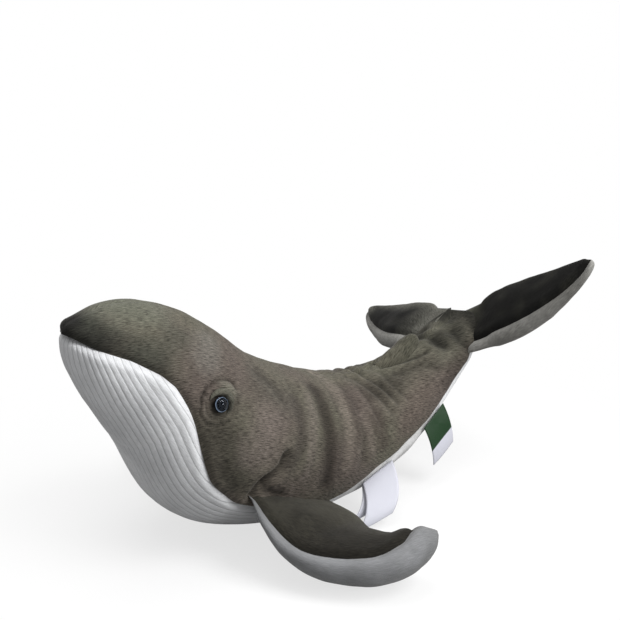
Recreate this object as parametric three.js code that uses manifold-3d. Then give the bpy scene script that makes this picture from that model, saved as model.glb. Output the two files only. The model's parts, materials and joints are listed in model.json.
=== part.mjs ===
// Plush humpback whale, resting on its throat and its two flippers with the tail curled up.
// Millimetres, +Z up, snout toward -X, the whale's left side toward -Y.
// Body, flippers, flukes and back fin are sewn bags: plush panels over one stuffed filling each.
import * as THREE from 'three';
import { mergeVertices } from 'three/addons/utils/BufferGeometryUtils.js';
import Module from 'manifold-3d';

const wasm = await Module();
wasm.setup();

// Body sizes
const bodyLength = 351; // along the ground, snout tip to the notch between the flukes
const bodyHeight = 195; // floor to the top of the head
const bodyWidth = 126; // across the widest part of the chest
const tailLean = 18; // degrees that the tail end leans over, left fluke up
const tailTurn = 32; // degrees that it turns aside, left fluke back

// Cloth sizes
const plushThickness = 2.4; // woven back and pile together
const seamGap = 0.4; // between two panels along a seam
const seat = 0.4; // between a piece and what it rests on
const fillingGap = 1.3; // between a filling and the inside of its panels
const fillingDepth = plushThickness + fillingGap;
const limbGap = 0.6; // between the body and the limbs and lids sewn onto it
const labelThickness = 0.6;
const placeGrowth = 1; // how far the place cut for a panel overruns its faces

// Flipper sizes
const flipperLength = 128; // along its curved middle line, root to tip
const flipperChord = 80; // front to back at the root
const flipperThickness = 36;
const flipperDown = 12; // degrees that a flipper swings down from rest
const flipperUp = 40; // degrees that it swings up

// Fluke sizes
const flukeLength = 112; // from the root seam to the tip
const flukeChord = 46; // front to back at its widest
const flukeThickness = 19;
const flukeSwing = 25; // degrees that a fluke folds either way
const leftFlukeLift = 10; // degrees above the plane of the tail end
const rightFlukeLift = -20; // degrees, the same
const rightFlukeSweep = 6; // degrees that its tip leans back
const rightFlukeRoll = 20; // degrees that it rolls about its own length

// Back fin sizes
const finLength = 46;
const finHeight = 15;
const finWidth = 22;

// Eye sizes
const eyeRadius = 5.5;
const eyeBulge = 3.2; // height of the clear dome
const eyeDisc = 1; // thickness of the coloured disc behind the dome
const stemRadius = 1.6;
const stemLength = 9;
const washerRadius = 6;
const washerThickness = 1.2;

// Label sizes
const fibreLabelLength = 35;
const careLabelLength = 50;
const motifLabelLength = 56;

// Counts of facets
const bodyRows = 30;
const bodyColumns = 28;
const sideColumns = 9;
const throatColumns = 14;
const bellyColumns = 10;
const stuffingColumns = 20;
const limbRows = 14;
const limbColumns = 18;
const flipperPanelColumns = 8;
const flukePanelColumns = 7;
const flukeFillingColumns = 14;
const lidRows = 12;
const lidColumns = 10;
const domeRows = 4;
const passSteps = 6; // places at which a swinging limb's root is cleared

const TURN = 2 * Math.PI;
const radians = THREE.MathUtils.degToRad;
const snoutShare = 0.36; // of bodyLength, how far the snout lies ahead of the origin

// Rings of the body from snout to tail notch: place along, centre height, half width,
// half height above the centre, half height below it, and how far the ring leans and turns
// Shares of bodyLength, bodyHeight, bodyWidth, bodyHeight, bodyHeight and the two tail angles
const bodyRingShares = [
  [0, 0.933, 0, 0, 0, 0],
  [0.014, 0.918, 0.111, 0.072, 0.051, 0],
  [0.048, 0.872, 0.23, 0.159, 0.108, 0],
  [0.105, 0.795, 0.341, 0.231, 0.179, 0],
  [0.191, 0.672, 0.444, 0.272, 0.267, 0],
  [0.299, 0.472, 0.5, 0.292, 0.366, 0],
  [0.436, 0.338, 0.484, 0.287, 0.341, 0],
  [0.567, 0.277, 0.444, 0.256, 0.279, 0],
  [0.681, 0.277, 0.389, 0.221, 0.236, 0.05],
  [0.783, 0.333, 0.325, 0.169, 0.2, 0.25],
  [0.869, 0.415, 0.262, 0.128, 0.154, 0.6],
  [0.932, 0.497, 0.238, 0.092, 0.108, 0.9],
  [0.977, 0.579, 0.19, 0.049, 0.056, 1],
  [1, 0.641, 0.11, 0.0175, 0.0175, 1],
];

// Seam between the dark side panels and the white underside: share along the body,
// then share of a full turn round it, counted from the top of the back
const undersideSeamShares = [
  [0, 0.235],
  [0.2, 0.23],
  [0.27, 0.255],
  [0.31, 0.28],
  [0.36, 0.33],
  [0.41, 0.345],
  [0.46, 0.35],
  [0.53, 0.372],
  [0.59, 0.31],
  [0.65, 0.307],
  [0.75, 0.32],
  [0.9, 0.31],
  [1, 0.25],
];
const throatEndShare = 0.5; // along the body, where the ribbed throat meets the plain belly
const noseRowShare = 0.03; // along the body, the first ring of the panels

// Value of a table of rows at a share of its length, smooth through every row
function smoothRow(rows, share) {
  const last = rows.length - 1;
  const place = THREE.MathUtils.clamp(share, 0, 1) * last;
  const k = Math.min(Math.floor(place), last - 1);
  const t = place - k;
  const row = (i) => rows[THREE.MathUtils.clamp(i, 0, last)];
  return rows[0].map((_, column) => {
    const [a, b, c, d] = [k - 1, k, k + 1, k + 2].map((i) => row(i)[column]);
    const leave = (c - a) / 2;
    const arrive = (d - b) / 2;
    return b + t * (leave + t * (3 * (c - b) - 2 * leave - arrive + t * (2 * (b - c) + leave + arrive)));
  });
}

// Height of a line through points that are sorted by their first value
function lineAt(points, x) {
  const k = points.findIndex((p) => p[0] >= x);
  if (k < 1) {
    return points[k < 0 ? points.length - 1 : 0][1];
  }
  const [[x0, y0], [x1, y1]] = [points[k - 1], points[k]];
  return y0 + (y1 - y0) * (x - x0) / (x1 - x0);
}

function spread(count, from = 0, to = 1) {
  return Array.from({ length: count + 1 }, (_, i) => from + (to - from) * i / count);
}

// Bags. A bag is a function of the share along its spine. It gives the ring there:
// centre, tangent, side (round 0.25), up (round 0) and the half sizes width, above and below.
const nudge = 1e-3;

function spineTangent(spine, along) {
  return spine(Math.min(along + nudge, 1)).sub(spine(Math.max(along - nudge, 0))).normalize();
}

function ringPoint(ring, round, shrink = 0) {
  const turn = round * TURN;
  const rise = Math.cos(turn);
  const half = rise > 0 ? ring.above : ring.below;
  return ring.centre.clone()
    .addScaledVector(ring.side, Math.sin(turn) * (ring.width - shrink))
    .addScaledVector(ring.up, rise * (half - shrink));
}

function bagNormal(bag, along, round) {
  const before = Math.max(along - nudge, nudge);
  const lengthwise = ringPoint(bag(Math.min(along + nudge, 1)), round).sub(ringPoint(bag(before), round));
  const ring = bag(along);
  const crosswise = ringPoint(ring, round + nudge).sub(ringPoint(ring, round - nudge));
  const normal = crosswise.cross(lengthwise).normalize();
  return normal.dot(ringPoint(ring, round).sub(ring.centre)) < 0 ? normal.negate() : normal;
}

// Point at a depth under the bag's outer surface
function bagPoint(bag, along, round, depth = 0) {
  const ring = bag(along);
  const lengthwise = bagNormal(bag, along, round).dot(ring.tangent);
  const shrink = depth * Math.sqrt(Math.max(1 - lengthwise * lengthwise, 0));
  return ringPoint(ring, round, shrink).addScaledVector(ring.tangent, -depth * lengthwise);
}

// A closed geometry from its corner points and triangles, turned so that its faces point out
function closedGeometry(points, faces) {
  let volume = 0;
  for (const [a, b, c] of faces) {
    volume += points[a].dot(new THREE.Vector3().crossVectors(points[b], points[c]));
  }
  const geometry = new THREE.BufferGeometry();
  geometry.setAttribute('position', new THREE.Float32BufferAttribute(points.flatMap((p) => p.toArray()), 3));
  geometry.setIndex(faces.flatMap(([a, b, c]) => (volume < 0 ? [a, c, b] : [a, b, c])));
  return geometry;
}

function quad(faces, a, b, c, d) {
  faces.push([a, b, c], [a, c, d]);
}

// Closed tube at a depth under a bag's surface, with a point or a flat face at each end
function bagSolid(bag, rows, columns, depth) {
  const points = rows.flatMap((along) => (
    spread(columns).slice(1).map((round) => bagPoint(bag, along, round, depth))
  ));
  const at = (row, i) => row * columns + (i % columns);
  const faces = [];
  for (let row = 0; row + 1 < rows.length; row++) {
    for (let i = 0; i < columns; i++) {
      quad(faces, at(row, i), at(row, i + 1), at(row + 1, i + 1), at(row + 1, i));
    }
  }
  const last = rows.length - 1;
  const middle = (along) => bagPoint(bag, along, 0, depth).lerp(bagPoint(bag, along, 0.5, depth), 0.5);
  const first = points.push(middle(rows[0])) - 1;
  const end = points.push(middle(rows[last])) - 1;
  for (let i = 0; i < columns; i++) {
    faces.push([at(0, i + 1), at(0, i), first], [at(last, i), at(last, i + 1), end]);
  }
  return closedGeometry(points, faces);
}

// How far a seam's two edges stand back from it, in turns round the bag
function seamSetback(bag, along, seam) {
  const at = (row, round) => ringPoint(bag(row), round);
  const turnLength = at(along, seam(along) + nudge).distanceTo(at(along, seam(along) - nudge));
  const forward = Math.min(along + nudge, 1);
  const rowLength = at(forward, seam(along)).distanceTo(at(forward - nudge, seam(along)));
  const slope = (seam(forward) - seam(forward - nudge)) / (2 * nudge) * turnLength / rowLength;
  return seamGap / 2 * 2 * nudge / turnLength * Math.sqrt(1 + slope * slope);
}

// A panel of cloth on a bag between two seams, each a function of the share along the bag.
// A closed end comes to a point on the bag's tip: 'start', 'end' or neither.
function panel(bag, rows, columns, seams, { tip = '', grow = 0 } = {}) {
  const [near, far] = seams;
  const depths = [-grow, plushThickness + grow];
  const points = [];
  for (const along of rows) {
    const setbacks = [near, far].map((seam) => seamSetback(bag, along, seam) * (grow ? -1 : 1));
    const rounds = spread(columns, near(along) + setbacks[0], far(along) - setbacks[1]);
    for (const depth of depths) {
      points.push(...rounds.map((round) => bagPoint(bag, along, round, depth)));
    }
  }
  const wide = columns + 1;
  const at = (row, side, i) => (row * 2 + side) * wide + i;
  const faces = [];
  for (let row = 0; row + 1 < rows.length; row++) {
    for (let i = 0; i < columns; i++) {
      quad(faces, at(row, 0, i), at(row, 0, i + 1), at(row + 1, 0, i + 1), at(row + 1, 0, i));
      quad(faces, at(row, 1, i + 1), at(row, 1, i), at(row + 1, 1, i), at(row + 1, 1, i + 1));
    }
    quad(faces, at(row, 1, 0), at(row, 0, 0), at(row + 1, 0, 0), at(row + 1, 1, 0));
    quad(faces, at(row, 0, columns), at(row, 1, columns), at(row + 1, 1, columns), at(row + 1, 0, columns));
  }
  const last = rows.length - 1;
  for (const [row, name, turn] of [[0, 'start', false], [last, 'end', true]]) {
    const face = (...ring) => (turn ? ring.reverse() : ring);
    if (tip !== name) {
      for (let i = 0; i < columns; i++) {
        quad(faces, ...face(at(row, 1, i), at(row, 1, i + 1), at(row, 0, i + 1), at(row, 0, i)));
      }
      continue;
    }
    const middle = (near(rows[row]) + far(rows[row])) / 2;
    const ring = bag(rows[row]);
    const aside = ringPoint(ring, middle).sub(ring.centre).setLength(seamGap);
    const inward = ring.tangent.clone().multiplyScalar(turn ? -plushThickness : plushThickness);
    const outer = points.push(bag(turn ? 1 : 0).centre.clone().add(aside)) - 1;
    const inner = points.push(points[outer].clone().add(inward)) - 1;
    for (let i = 0; i < columns; i++) {
      faces.push(face(at(row, 0, i + 1), at(row, 0, i), outer));
      faces.push(face(at(row, 1, i), at(row, 1, i + 1), inner));
    }
    quad(faces, ...face(at(row, 0, 0), at(row, 1, 0), inner, outer));
    quad(faces, ...face(at(row, 1, columns), at(row, 0, columns), outer, inner));
  }
  return closedGeometry(points, faces);
}

// Booleans on closed geometries
function solidOf(geometry) {
  const bare = geometry.index ? geometry.toNonIndexed() : geometry.clone();
  bare.deleteAttribute('normal');
  bare.deleteAttribute('uv');
  const merged = mergeVertices(bare);
  return new wasm.Manifold(new wasm.Mesh({
    numProp: 3,
    vertProperties: new Float32Array(merged.attributes.position.array),
    triVerts: new Uint32Array(merged.index.array),
  }));
}

function geometryOf(solid) {
  const mesh = solid.getMesh();
  const geometry = new THREE.BufferGeometry();
  geometry.setAttribute('position', new THREE.BufferAttribute(new Float32Array(mesh.vertProperties), 3));
  geometry.setIndex(new THREE.BufferAttribute(new Uint32Array(mesh.triVerts), 1));
  return geometry;
}

function cut(geometry, ...cutters) {
  let solid = solidOf(geometry);
  for (const cutter of cutters) {
    solid = solid.subtract(solidOf(cutter));
  }
  return geometryOf(largestOf(solid));
}

// The largest of the pieces that a cut leaves
function largestOf(solid) {
  return solid.decompose().reduce((best, piece) => (piece.volume() > best.volume() ? piece : best));
}

// Body bag
function bodySpine(along) {
  const [x, z] = smoothRow(bodyRingShares, along);
  return new THREE.Vector3((x - snoutShare) * bodyLength, 0, z * bodyHeight);
}

function body(along) {
  const [, , width, above, below, lean] = smoothRow(bodyRingShares, along);
  const vertical = new THREE.Vector3(0, 0, 1);
  const tangent = spineTangent(bodySpine, along).applyAxisAngle(vertical, radians(lean * tailTurn));
  const level = new THREE.Vector3(0, -1, 0).applyAxisAngle(vertical, radians(lean * tailTurn));
  const upright = new THREE.Vector3().crossVectors(level, tangent).normalize();
  return {
    centre: bodySpine(along),
    tangent,
    side: level.applyAxisAngle(tangent, radians(-lean * tailLean)),
    up: upright.applyAxisAngle(tangent, radians(-lean * tailLean)),
    width: width * bodyWidth,
    above: above * bodyHeight,
    below: below * bodyHeight,
  };
}

const bodyShares = spread(bodyRows, noseRowShare, 1);
const bodyGrown = bagSolid(body, bodyShares, bodyColumns, -limbGap);
const seam = (along) => lineAt(undersideSeamShares, along);
const farSeam = (along) => 1 - seam(along);

const whale = new THREE.Group();

function addPiece(name, geometry, look) {
  const mesh = new THREE.Mesh(geometry, new THREE.MeshStandardMaterial(look));
  mesh.name = name;
  whale.add(mesh);
}

const darkPlush = { color: 0x6a655a, roughness: 0.95, metalness: 0 };
const blackPlush = { color: 0x34322f, roughness: 0.95, metalness: 0 };
const whitePlush = { color: 0xe6e6e4, roughness: 0.95, metalness: 0 };
const filling = { color: 0xf2f2ee, roughness: 1, metalness: 0 };
const clearPlastic = { color: 0xdfe6ea, roughness: 0.05, metalness: 0 };
const darkPlastic = { color: 0x14181f, roughness: 0.3, metalness: 0 };
const nylon = { color: 0xdedcd4, roughness: 0.5, metalness: 0 };
const greenSatin = { color: 0x1f6b3a, roughness: 0.5, metalness: 0 };
const whiteSatin = { color: 0xeeecef, roughness: 0.5, metalness: 0 };

// The soft underside presses flat on the floor
const floorReach = bodyLength; // the floor block overruns the whale
const floor = new THREE.BoxGeometry(3 * floorReach, 3 * floorReach, floorReach);
floor.translate(0, 0, -floorReach / 2);

// Flipper bag: spine places out from the root seam and back from it as shares of flipperLength,
// height above the floor as a share of the root's, half chord as a share of flipperChord,
// half thickness as a share of flipperThickness, and how much of the root's slant is left
const flipperRingShares = [
  [-0.1, -0.02, 1.017, 0.52, 0.085, 1],
  [0.02, 0, 0.958, 0.56, 0.12, 1],
  [0.19, 0.01, 0.741, 0.6, 0.35, 0.8],
  [0.38, 0.03, 0.494, 0.54, 0.48, 0.6],
  [0.55, 0.1, 0.494, 0.44, 0.5, 0.5],
  [0.68, 0.19, 0.612, 0.33, 0.46, 0.45],
  [0.74, 0.28, 0.8, 0.235, 0.39, 0.4],
  [0.77, 0.37, 0.968, 0.14, 0.25, 0.4],
  [0.785, 0.42, 1.066, 0.03, 0.05, 0.4],
];
// Where the flipper's root meets the body: share along it and share of a turn round it
const flipperRootShares = [[0.412, 0.32], [0.53, 0.366]];
const flipperRoot = flipperRootShares.map(([along, round]) => bagPoint(body, along, round));
const flipperAxis = flipperRoot[1].clone().sub(flipperRoot[0]).normalize();
const flipperMiddle = flipperRoot[0].clone().lerp(flipperRoot[1], 0.5);

function flipperSpine(along) {
  const [out, back, height] = smoothRow(flipperRingShares, along);
  return new THREE.Vector3(
    flipperMiddle.x + back * flipperLength,
    flipperMiddle.y - out * flipperLength,
    height * flipperMiddle.z,
  );
}

function flipper(along) {
  const [, , , chord, thickness, slant] = smoothRow(flipperRingShares, along);
  const tangent = spineTangent(flipperSpine, along);
  const rootUp = new THREE.Vector3().crossVectors(flipperAxis, tangent).negate().normalize();
  const upright = new THREE.Vector3(0, 0, 1).lerp(rootUp, slant);
  const side = new THREE.Vector3().crossVectors(tangent, upright).normalize();
  return {
    centre: flipperSpine(along),
    tangent,
    side,
    up: new THREE.Vector3().crossVectors(side, tangent),
    width: chord * flipperChord,
    above: thickness * flipperThickness,
    below: thickness * flipperThickness,
  };
}

// Turn about a line through a point
function turnAbout(point, axis, angle) {
  return new THREE.Matrix4().makeTranslation(...point.toArray())
    .multiply(new THREE.Matrix4().makeRotationAxis(axis, radians(angle)))
    .multiply(new THREE.Matrix4().makeTranslation(...point.clone().negate().toArray()));
}

function moved(geometry, matrix) {
  const copy = geometry.clone().applyMatrix4(matrix);
  if (matrix.determinant() < 0) {
    const order = copy.index.array.slice();
    for (let i = 0; i < order.length; i += 3) {
      [order[i + 1], order[i + 2]] = [order[i + 2], order[i + 1]];
    }
    copy.setIndex(new THREE.BufferAttribute(order, 1));
  }
  return copy;
}

const mirror = new THREE.Matrix4().makeScale(1, -1, 1);

// The body as it is passed by a limb that swings between two angles about its root
function bodyPassed(point, axis, from, to) {
  return spread(passSteps, from, to).map((angle) => moved(bodyGrown, turnAbout(point, axis, -angle)));
}

// Seam round a flipper: the dark top ends short of the tip, where the white underside wraps over
const flipperDarkEndShare = 0.82; // along the flipper
const flipperEndRoundness = 6; // how squarely the dark top ends
const flipperEndLeastShare = 0.03; // of its width that the dark top keeps there
const flipperSeamShares = [
  [0, 0.2],
  [0.3, 0.19],
  [0.6, 0.17],
  [0.74, 0.13],
  [flipperDarkEndShare, 0.012],
];
const flipperFront = (along) => lineAt(flipperSeamShares, along);
const flipperBackShare = 0.25; // of a turn from the top to the rear seam
function flipperBack(along) {
  const left = 1 - (along / flipperDarkEndShare) ** flipperEndRoundness;
  return -flipperBackShare * Math.sqrt(Math.max(left, flipperEndLeastShare));
}

const limbRowShares = spread(limbRows, 0, 0.97);
const darkEndGap = 2 * seamGap / flipperLength;
const darkRowShares = spread(limbRows, 0, flipperDarkEndShare);
const darkPlaceShares = [...darkRowShares.slice(0, -1), flipperDarkEndShare + darkEndGap];

const flipperUpAxis = flipperAxis.clone().negate();
const flipperCutters = [...bodyPassed(flipperMiddle, flipperUpAxis, -flipperDown, flipperUp), floor];
const flipperSkin = solidOf(bagSolid(flipper, limbRowShares, limbColumns, 0))
  .subtract(solidOf(bagSolid(flipper, spread(limbRows, -0.05, 0.94), limbColumns, plushThickness)));
const flipperTop = [flipperBack, flipperFront];
const darkPlace = panel(flipper, darkPlaceShares, flipperPanelColumns, flipperTop, { grow: placeGrowth });
const flipperPieces = {
  upper_panel: [panel(flipper, darkRowShares, flipperPanelColumns, flipperTop), darkPlush],
  lower_panel: [geometryOf(flipperSkin.subtract(solidOf(darkPlace))), whitePlush],
  filling: [bagSolid(flipper, spread(limbRows, 0.1, 0.88), limbColumns, fillingDepth), filling],
};
for (const [piece, [geometry, look]] of Object.entries(flipperPieces)) {
  const trimmed = cut(geometry, ...flipperCutters);
  addPiece(`left_flipper_${piece}`, trimmed, look);
  addPiece(`right_flipper_${piece}`, moved(trimmed, mirror), look);
}

// Fluke bag, drawn flat: out from the root seam, back toward the notch and up from the plane
// as shares of flukeLength, then half chord and half thickness as shares of their sizes
const flukeRingShares = [
  [-0.16, -0.02, 0, 0.44, 0.15],
  [0.03, 0.03, 0, 0.48, 0.17],
  [0.15, 0.08, 0, 0.55, 0.38],
  [0.32, 0.13, 0, 0.55, 0.5],
  [0.49, 0.2, 0, 0.5, 0.49],
  [0.66, 0.28, 0.01, 0.41, 0.44],
  [0.81, 0.36, 0.03, 0.28, 0.36],
  [0.9, 0.42, 0.05, 0.14, 0.26],
  [0.925, 0.44, 0.06, 0.03, 0.08],
];

function flukeSpine(along) {
  const [out, back, rise] = smoothRow(flukeRingShares, along);
  return new THREE.Vector3(out, back, rise).multiplyScalar(flukeLength);
}

function fluke(along) {
  const [, , , chord, thickness] = smoothRow(flukeRingShares, along);
  const tangent = spineTangent(flukeSpine, along);
  const side = new THREE.Vector3().crossVectors(tangent, new THREE.Vector3(0, 0, 1)).normalize();
  return {
    centre: flukeSpine(along),
    tangent,
    side,
    up: new THREE.Vector3().crossVectors(side, tangent),
    width: chord * flukeChord,
    above: thickness * flukeThickness,
    below: thickness * flukeThickness,
  };
}

const flukeLeadingSeam = () => 0.1; // the white underside shows over the leading edge
const flukeTrailingSeam = () => -0.25;
const flukeTop = [flukeTrailingSeam, flukeLeadingSeam];
const flukeUnderside = [flukeLeadingSeam, () => flukeTrailingSeam() + 1];
const flukeRows = spread(limbRows, 0, 0.96);
const flukeFillingRows = spread(limbRows, 0.2, 0.85);
const flukePieces = {
  upper_panel: [panel(fluke, flukeRows, flukePanelColumns, flukeTop, { tip: 'end' }), blackPlush],
  lower_panel: [panel(fluke, flukeRows, flukePanelColumns, flukeUnderside, { tip: 'end' }), whitePlush],
  filling: [bagSolid(fluke, flukeFillingRows, flukeFillingColumns, fillingDepth), filling],
};
const flukeRootShare = 0.91; // along the body, the middle of the root seam
const flukeTurns = [
  ['left', 0.25, leftFlukeLift, 0, 0],
  ['right', 0.75, rightFlukeLift, rightFlukeSweep, rightFlukeRoll],
];
for (const [name, round, lift, sweep, roll] of flukeTurns) {
  const hand = round < 0.5 ? 1 : -1;
  const ring = body(flukeRootShare);
  const middle = bagPoint(body, flukeRootShare, round);
  const upAxis = ring.tangent.clone().multiplyScalar(-hand);
  const out = ring.side.clone().multiplyScalar(hand).applyAxisAngle(upAxis, radians(lift));
  const normal = ring.up.clone().applyAxisAngle(upAxis, radians(lift));
  out.applyAxisAngle(normal, radians(sweep));
  const back = ring.tangent.clone().applyAxisAngle(normal, radians(sweep)).applyAxisAngle(out, radians(roll));
  normal.applyAxisAngle(out, radians(roll));
  const place = new THREE.Matrix4().makeBasis(out, back, normal).setPosition(middle);
  const cutters = bodyPassed(middle, upAxis, -flukeSwing, flukeSwing);
  for (const [piece, [geometry, look]] of Object.entries(flukePieces)) {
    addPiece(`${name}_fluke_${piece}`, cut(moved(geometry, place), ...cutters), look);
  }
}

// Back fin: a low stuffed ridge on the seam of the back, steeper behind
// Place along the fin, half width as a share of finWidth, height as a share of finHeight
const finRingShares = [
  [0, 0.08, 0.15],
  [0.15, 0.25, 0.3],
  [0.4, 0.42, 0.6],
  [0.65, 0.5, 0.88],
  [0.85, 0.42, 1],
  [0.96, 0.26, 0.8],
  [1, 0.12, 0.45],
];
const finStartShare = 0.69; // along the body
const finSink = 5; // how deep the ridge's middle line lies in the body before it is trimmed

function finSpine(along) {
  const [place] = smoothRow(finRingShares, along);
  const start = bagPoint(body, finStartShare, 0);
  const rear = bagPoint(body, finStartShare + nudge, 0).sub(start).normalize();
  const end = start.clone().addScaledVector(rear, finLength);
  return start.lerp(end, place).addScaledVector(body(finStartShare).up, -finSink);
}

function fin(along) {
  const [, width, height] = smoothRow(finRingShares, along);
  const tangent = spineTangent(finSpine, along);
  const side = new THREE.Vector3(0, -1, 0);
  return {
    centre: finSpine(along),
    tangent,
    side,
    up: new THREE.Vector3().crossVectors(side, tangent),
    width: width * finWidth,
    above: height * finHeight + finSink,
    below: finSink,
  };
}

const finSolid = bagSolid(fin, spread(limbRows), limbColumns, 0);
const finInside = bagSolid(fin, spread(limbRows, 0.1, 0.94), limbColumns, plushThickness);
addPiece('back_fin_cover', cut(finSolid, finInside, bodyGrown), darkPlush);
const finStuffing = bagSolid(fin, spread(limbRows, 0.16, 0.92), limbColumns, fillingDepth);
addPiece('back_fin_filling', cut(finStuffing, bodyGrown), filling);

// Eyes: a clear dome on a coloured disc whose stem passes the skin into a locking washer
const eyeShares = [0.328, 0.212]; // along the body and round it
const eyeFacets = 20;

function standing(geometry, point, direction, distance) {
  const turn = new THREE.Quaternion().setFromUnitVectors(new THREE.Vector3(0, 1, 0), direction);
  const place = new THREE.Matrix4().makeRotationFromQuaternion(turn);
  place.setPosition(point.clone().addScaledVector(direction, distance));
  return geometry.clone().applyMatrix4(place);
}

function turned(profile, facets = eyeFacets) {
  const lathe = new THREE.LatheGeometry(profile.map(([x, y]) => new THREE.Vector2(x, y)), facets);
  lathe.deleteAttribute('normal');
  lathe.deleteAttribute('uv');
  return mergeVertices(lathe);
}

const domeCurve = (eyeRadius ** 2 + eyeBulge ** 2) / (2 * eyeBulge);
const domeAngle = Math.asin(eyeRadius / domeCurve);
const domeProfile = spread(domeRows).map((share) => [
  domeCurve * Math.sin(domeAngle * (1 - share)),
  domeCurve * Math.cos(domeAngle * (1 - share)) - domeCurve + eyeBulge,
]);
const discTop = seat + eyeDisc;
const washerTop = -fillingDepth - seat;
const washerHole = stemRadius + seat;
const backProfile = [
  [0, -stemLength],
  [stemRadius, -stemLength],
  [stemRadius, seat],
  [eyeRadius, seat],
  [eyeRadius, discTop],
  [0, discTop],
];
const washerProfile = [
  [washerHole, 0],
  [washerHole, -washerThickness],
  [washerRadius, -washerThickness],
  [washerRadius, 0],
  [washerHole, 0],
];
const eyeParts = {
  lens: [turned([[0, 0], ...domeProfile]), discTop + seat, clearPlastic],
  back: [turned(backProfile), 0, darkPlastic],
  washer: [turned(washerProfile), washerTop, nylon],
};
const eyePoint = bagPoint(body, ...eyeShares);
const eyeNormal = bagNormal(body, ...eyeShares);
const eyeHole = new THREE.CylinderGeometry(washerHole, washerHole, 2 * stemLength, eyeFacets);
const pocketDepth = stemLength + fillingGap;
const pocketRadius = washerRadius + fillingGap;
const eyePocket = new THREE.CylinderGeometry(pocketRadius, pocketRadius, 2 * pocketDepth, eyeFacets);
for (const [piece, [geometry, distance, look]] of Object.entries(eyeParts)) {
  const left = standing(geometry, eyePoint, eyeNormal, distance);
  addPiece(`left_eye_${piece}`, left, look);
  addPiece(`right_eye_${piece}`, moved(left, mirror), look);
}
const leftHole = standing(eyeHole, eyePoint, eyeNormal, 0);
const leftPocket = standing(eyePocket, eyePoint, eyeNormal, 0);

// Eyelids: a padded plush fold round the upper side of each eye
const lidRadius = 2.6;
const lidSpan = 105; // degrees either side of the top of the eye
const lidRiseShare = 1.4; // height of the fold over its half width
const lidEndShares = [0.02, 0.98]; // along the fold
const lidBend = eyeRadius + lidRadius + seat;
const ringUp = body(eyeShares[0]).up;
const eyeUp = ringUp.clone().addScaledVector(eyeNormal, -ringUp.dot(eyeNormal)).normalize();
const eyeBack = new THREE.Vector3().crossVectors(eyeUp, eyeNormal).normalize();

function lidSpine(along) {
  const angle = radians(lidSpan) * (2 * along - 1);
  return eyePoint.clone()
    .addScaledVector(eyeUp, lidBend * Math.cos(angle))
    .addScaledVector(eyeBack, lidBend * Math.sin(angle));
}

function lid(along) {
  const swell = Math.sqrt(Math.sin(Math.PI * THREE.MathUtils.clamp(along, ...lidEndShares)));
  const tangent = spineTangent(lidSpine, along);
  const side = new THREE.Vector3().crossVectors(tangent, eyeNormal).normalize();
  return {
    centre: lidSpine(along),
    tangent,
    side,
    up: eyeNormal,
    width: lidRadius * swell,
    above: lidRadius * lidRiseShare * swell,
    below: lidRadius,
  };
}

const leftLid = cut(bagSolid(lid, spread(lidRows, ...lidEndShares), lidColumns, 0), bodyGrown);
addPiece('left_eyelid', leftLid, darkPlush);
addPiece('right_eyelid', moved(leftLid, mirror), darkPlush);

// Sewn-in labels: satin leaves that hang from the left seam of the underside. Each of the two
// side edges falls to its own end point, given as shares of the length, and bows between.
const labelRows = 6;

function label(rootShares, [frontFall, rearFall, bow], length, beside = 0) {
  const standOff = limbGap + labelThickness / 2;
  const roots = rootShares.map((along) => bagPoint(body, along, seam(along) + beside, -standOff));
  const rows = spread(labelRows).map((share) => [frontFall, rearFall].map((fall, side) => {
    const sag = 4 * share * (1 - share);
    const step = fall.map((value, i) => (share * value + sag * bow[i]) * length);
    return roots[side].clone().add(new THREE.Vector3(...step));
  }));
  const points = rows.flatMap(([front, rear], row) => {
    const [above] = rows[Math.max(row - 1, 0)];
    const [under] = rows[Math.min(row + 1, labelRows)];
    const across = rear.clone().sub(front);
    const normal = across.cross(under.clone().sub(above)).setLength(labelThickness / 2);
    return [-1, 1].flatMap((face) => (
      [front, rear].map((point) => point.clone().addScaledVector(normal, face))
    ));
  });
  const faces = [];
  const last = 4 * labelRows;
  const [first, second, third, fourth] = [0, 1, 2, 3];
  quad(faces, first, second, fourth, third);
  quad(faces, last + 2, last + 3, last + 1, last);
  for (let k = 0; k < last; k += 4) {
    quad(faces, k, k + 4, k + 5, k + 1);
    quad(faces, k + 1, k + 5, k + 7, k + 3);
    quad(faces, k + 3, k + 7, k + 6, k + 2);
    quad(faces, k + 2, k + 6, k + 4, k);
  }
  return closedGeometry(points, faces);
}

const fibreLabelShares = [0.685, 0.735]; // along the body, front and rear end of the root
const careLabelShares = [0.568, 0.617];
const fibreFallShares = [[0.2, -0.14, -0.93], [0.18, -0.2, -0.93], [0, -0.08, 0.03]];
const careFallShares = [[-0.42, -0.26, -0.42], [-0.4, -0.34, -0.46], [0.02, -0.1, 0]];
const motifFallShares = [[-0.38, -0.38, -0.46], [-0.36, -0.47, -0.5], [0.02, -0.12, 0]];
const secondLeaf = 0.005; // in turns round the body, how far the second root lies from the seam
addPiece('fibre_label', label(fibreLabelShares, fibreFallShares, fibreLabelLength), greenSatin);
addPiece('care_label', label(careLabelShares, careFallShares, careLabelLength, secondLeaf), whiteSatin);
addPiece('motif_label', label(careLabelShares, motifFallShares, motifLabelLength), whiteSatin);

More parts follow.
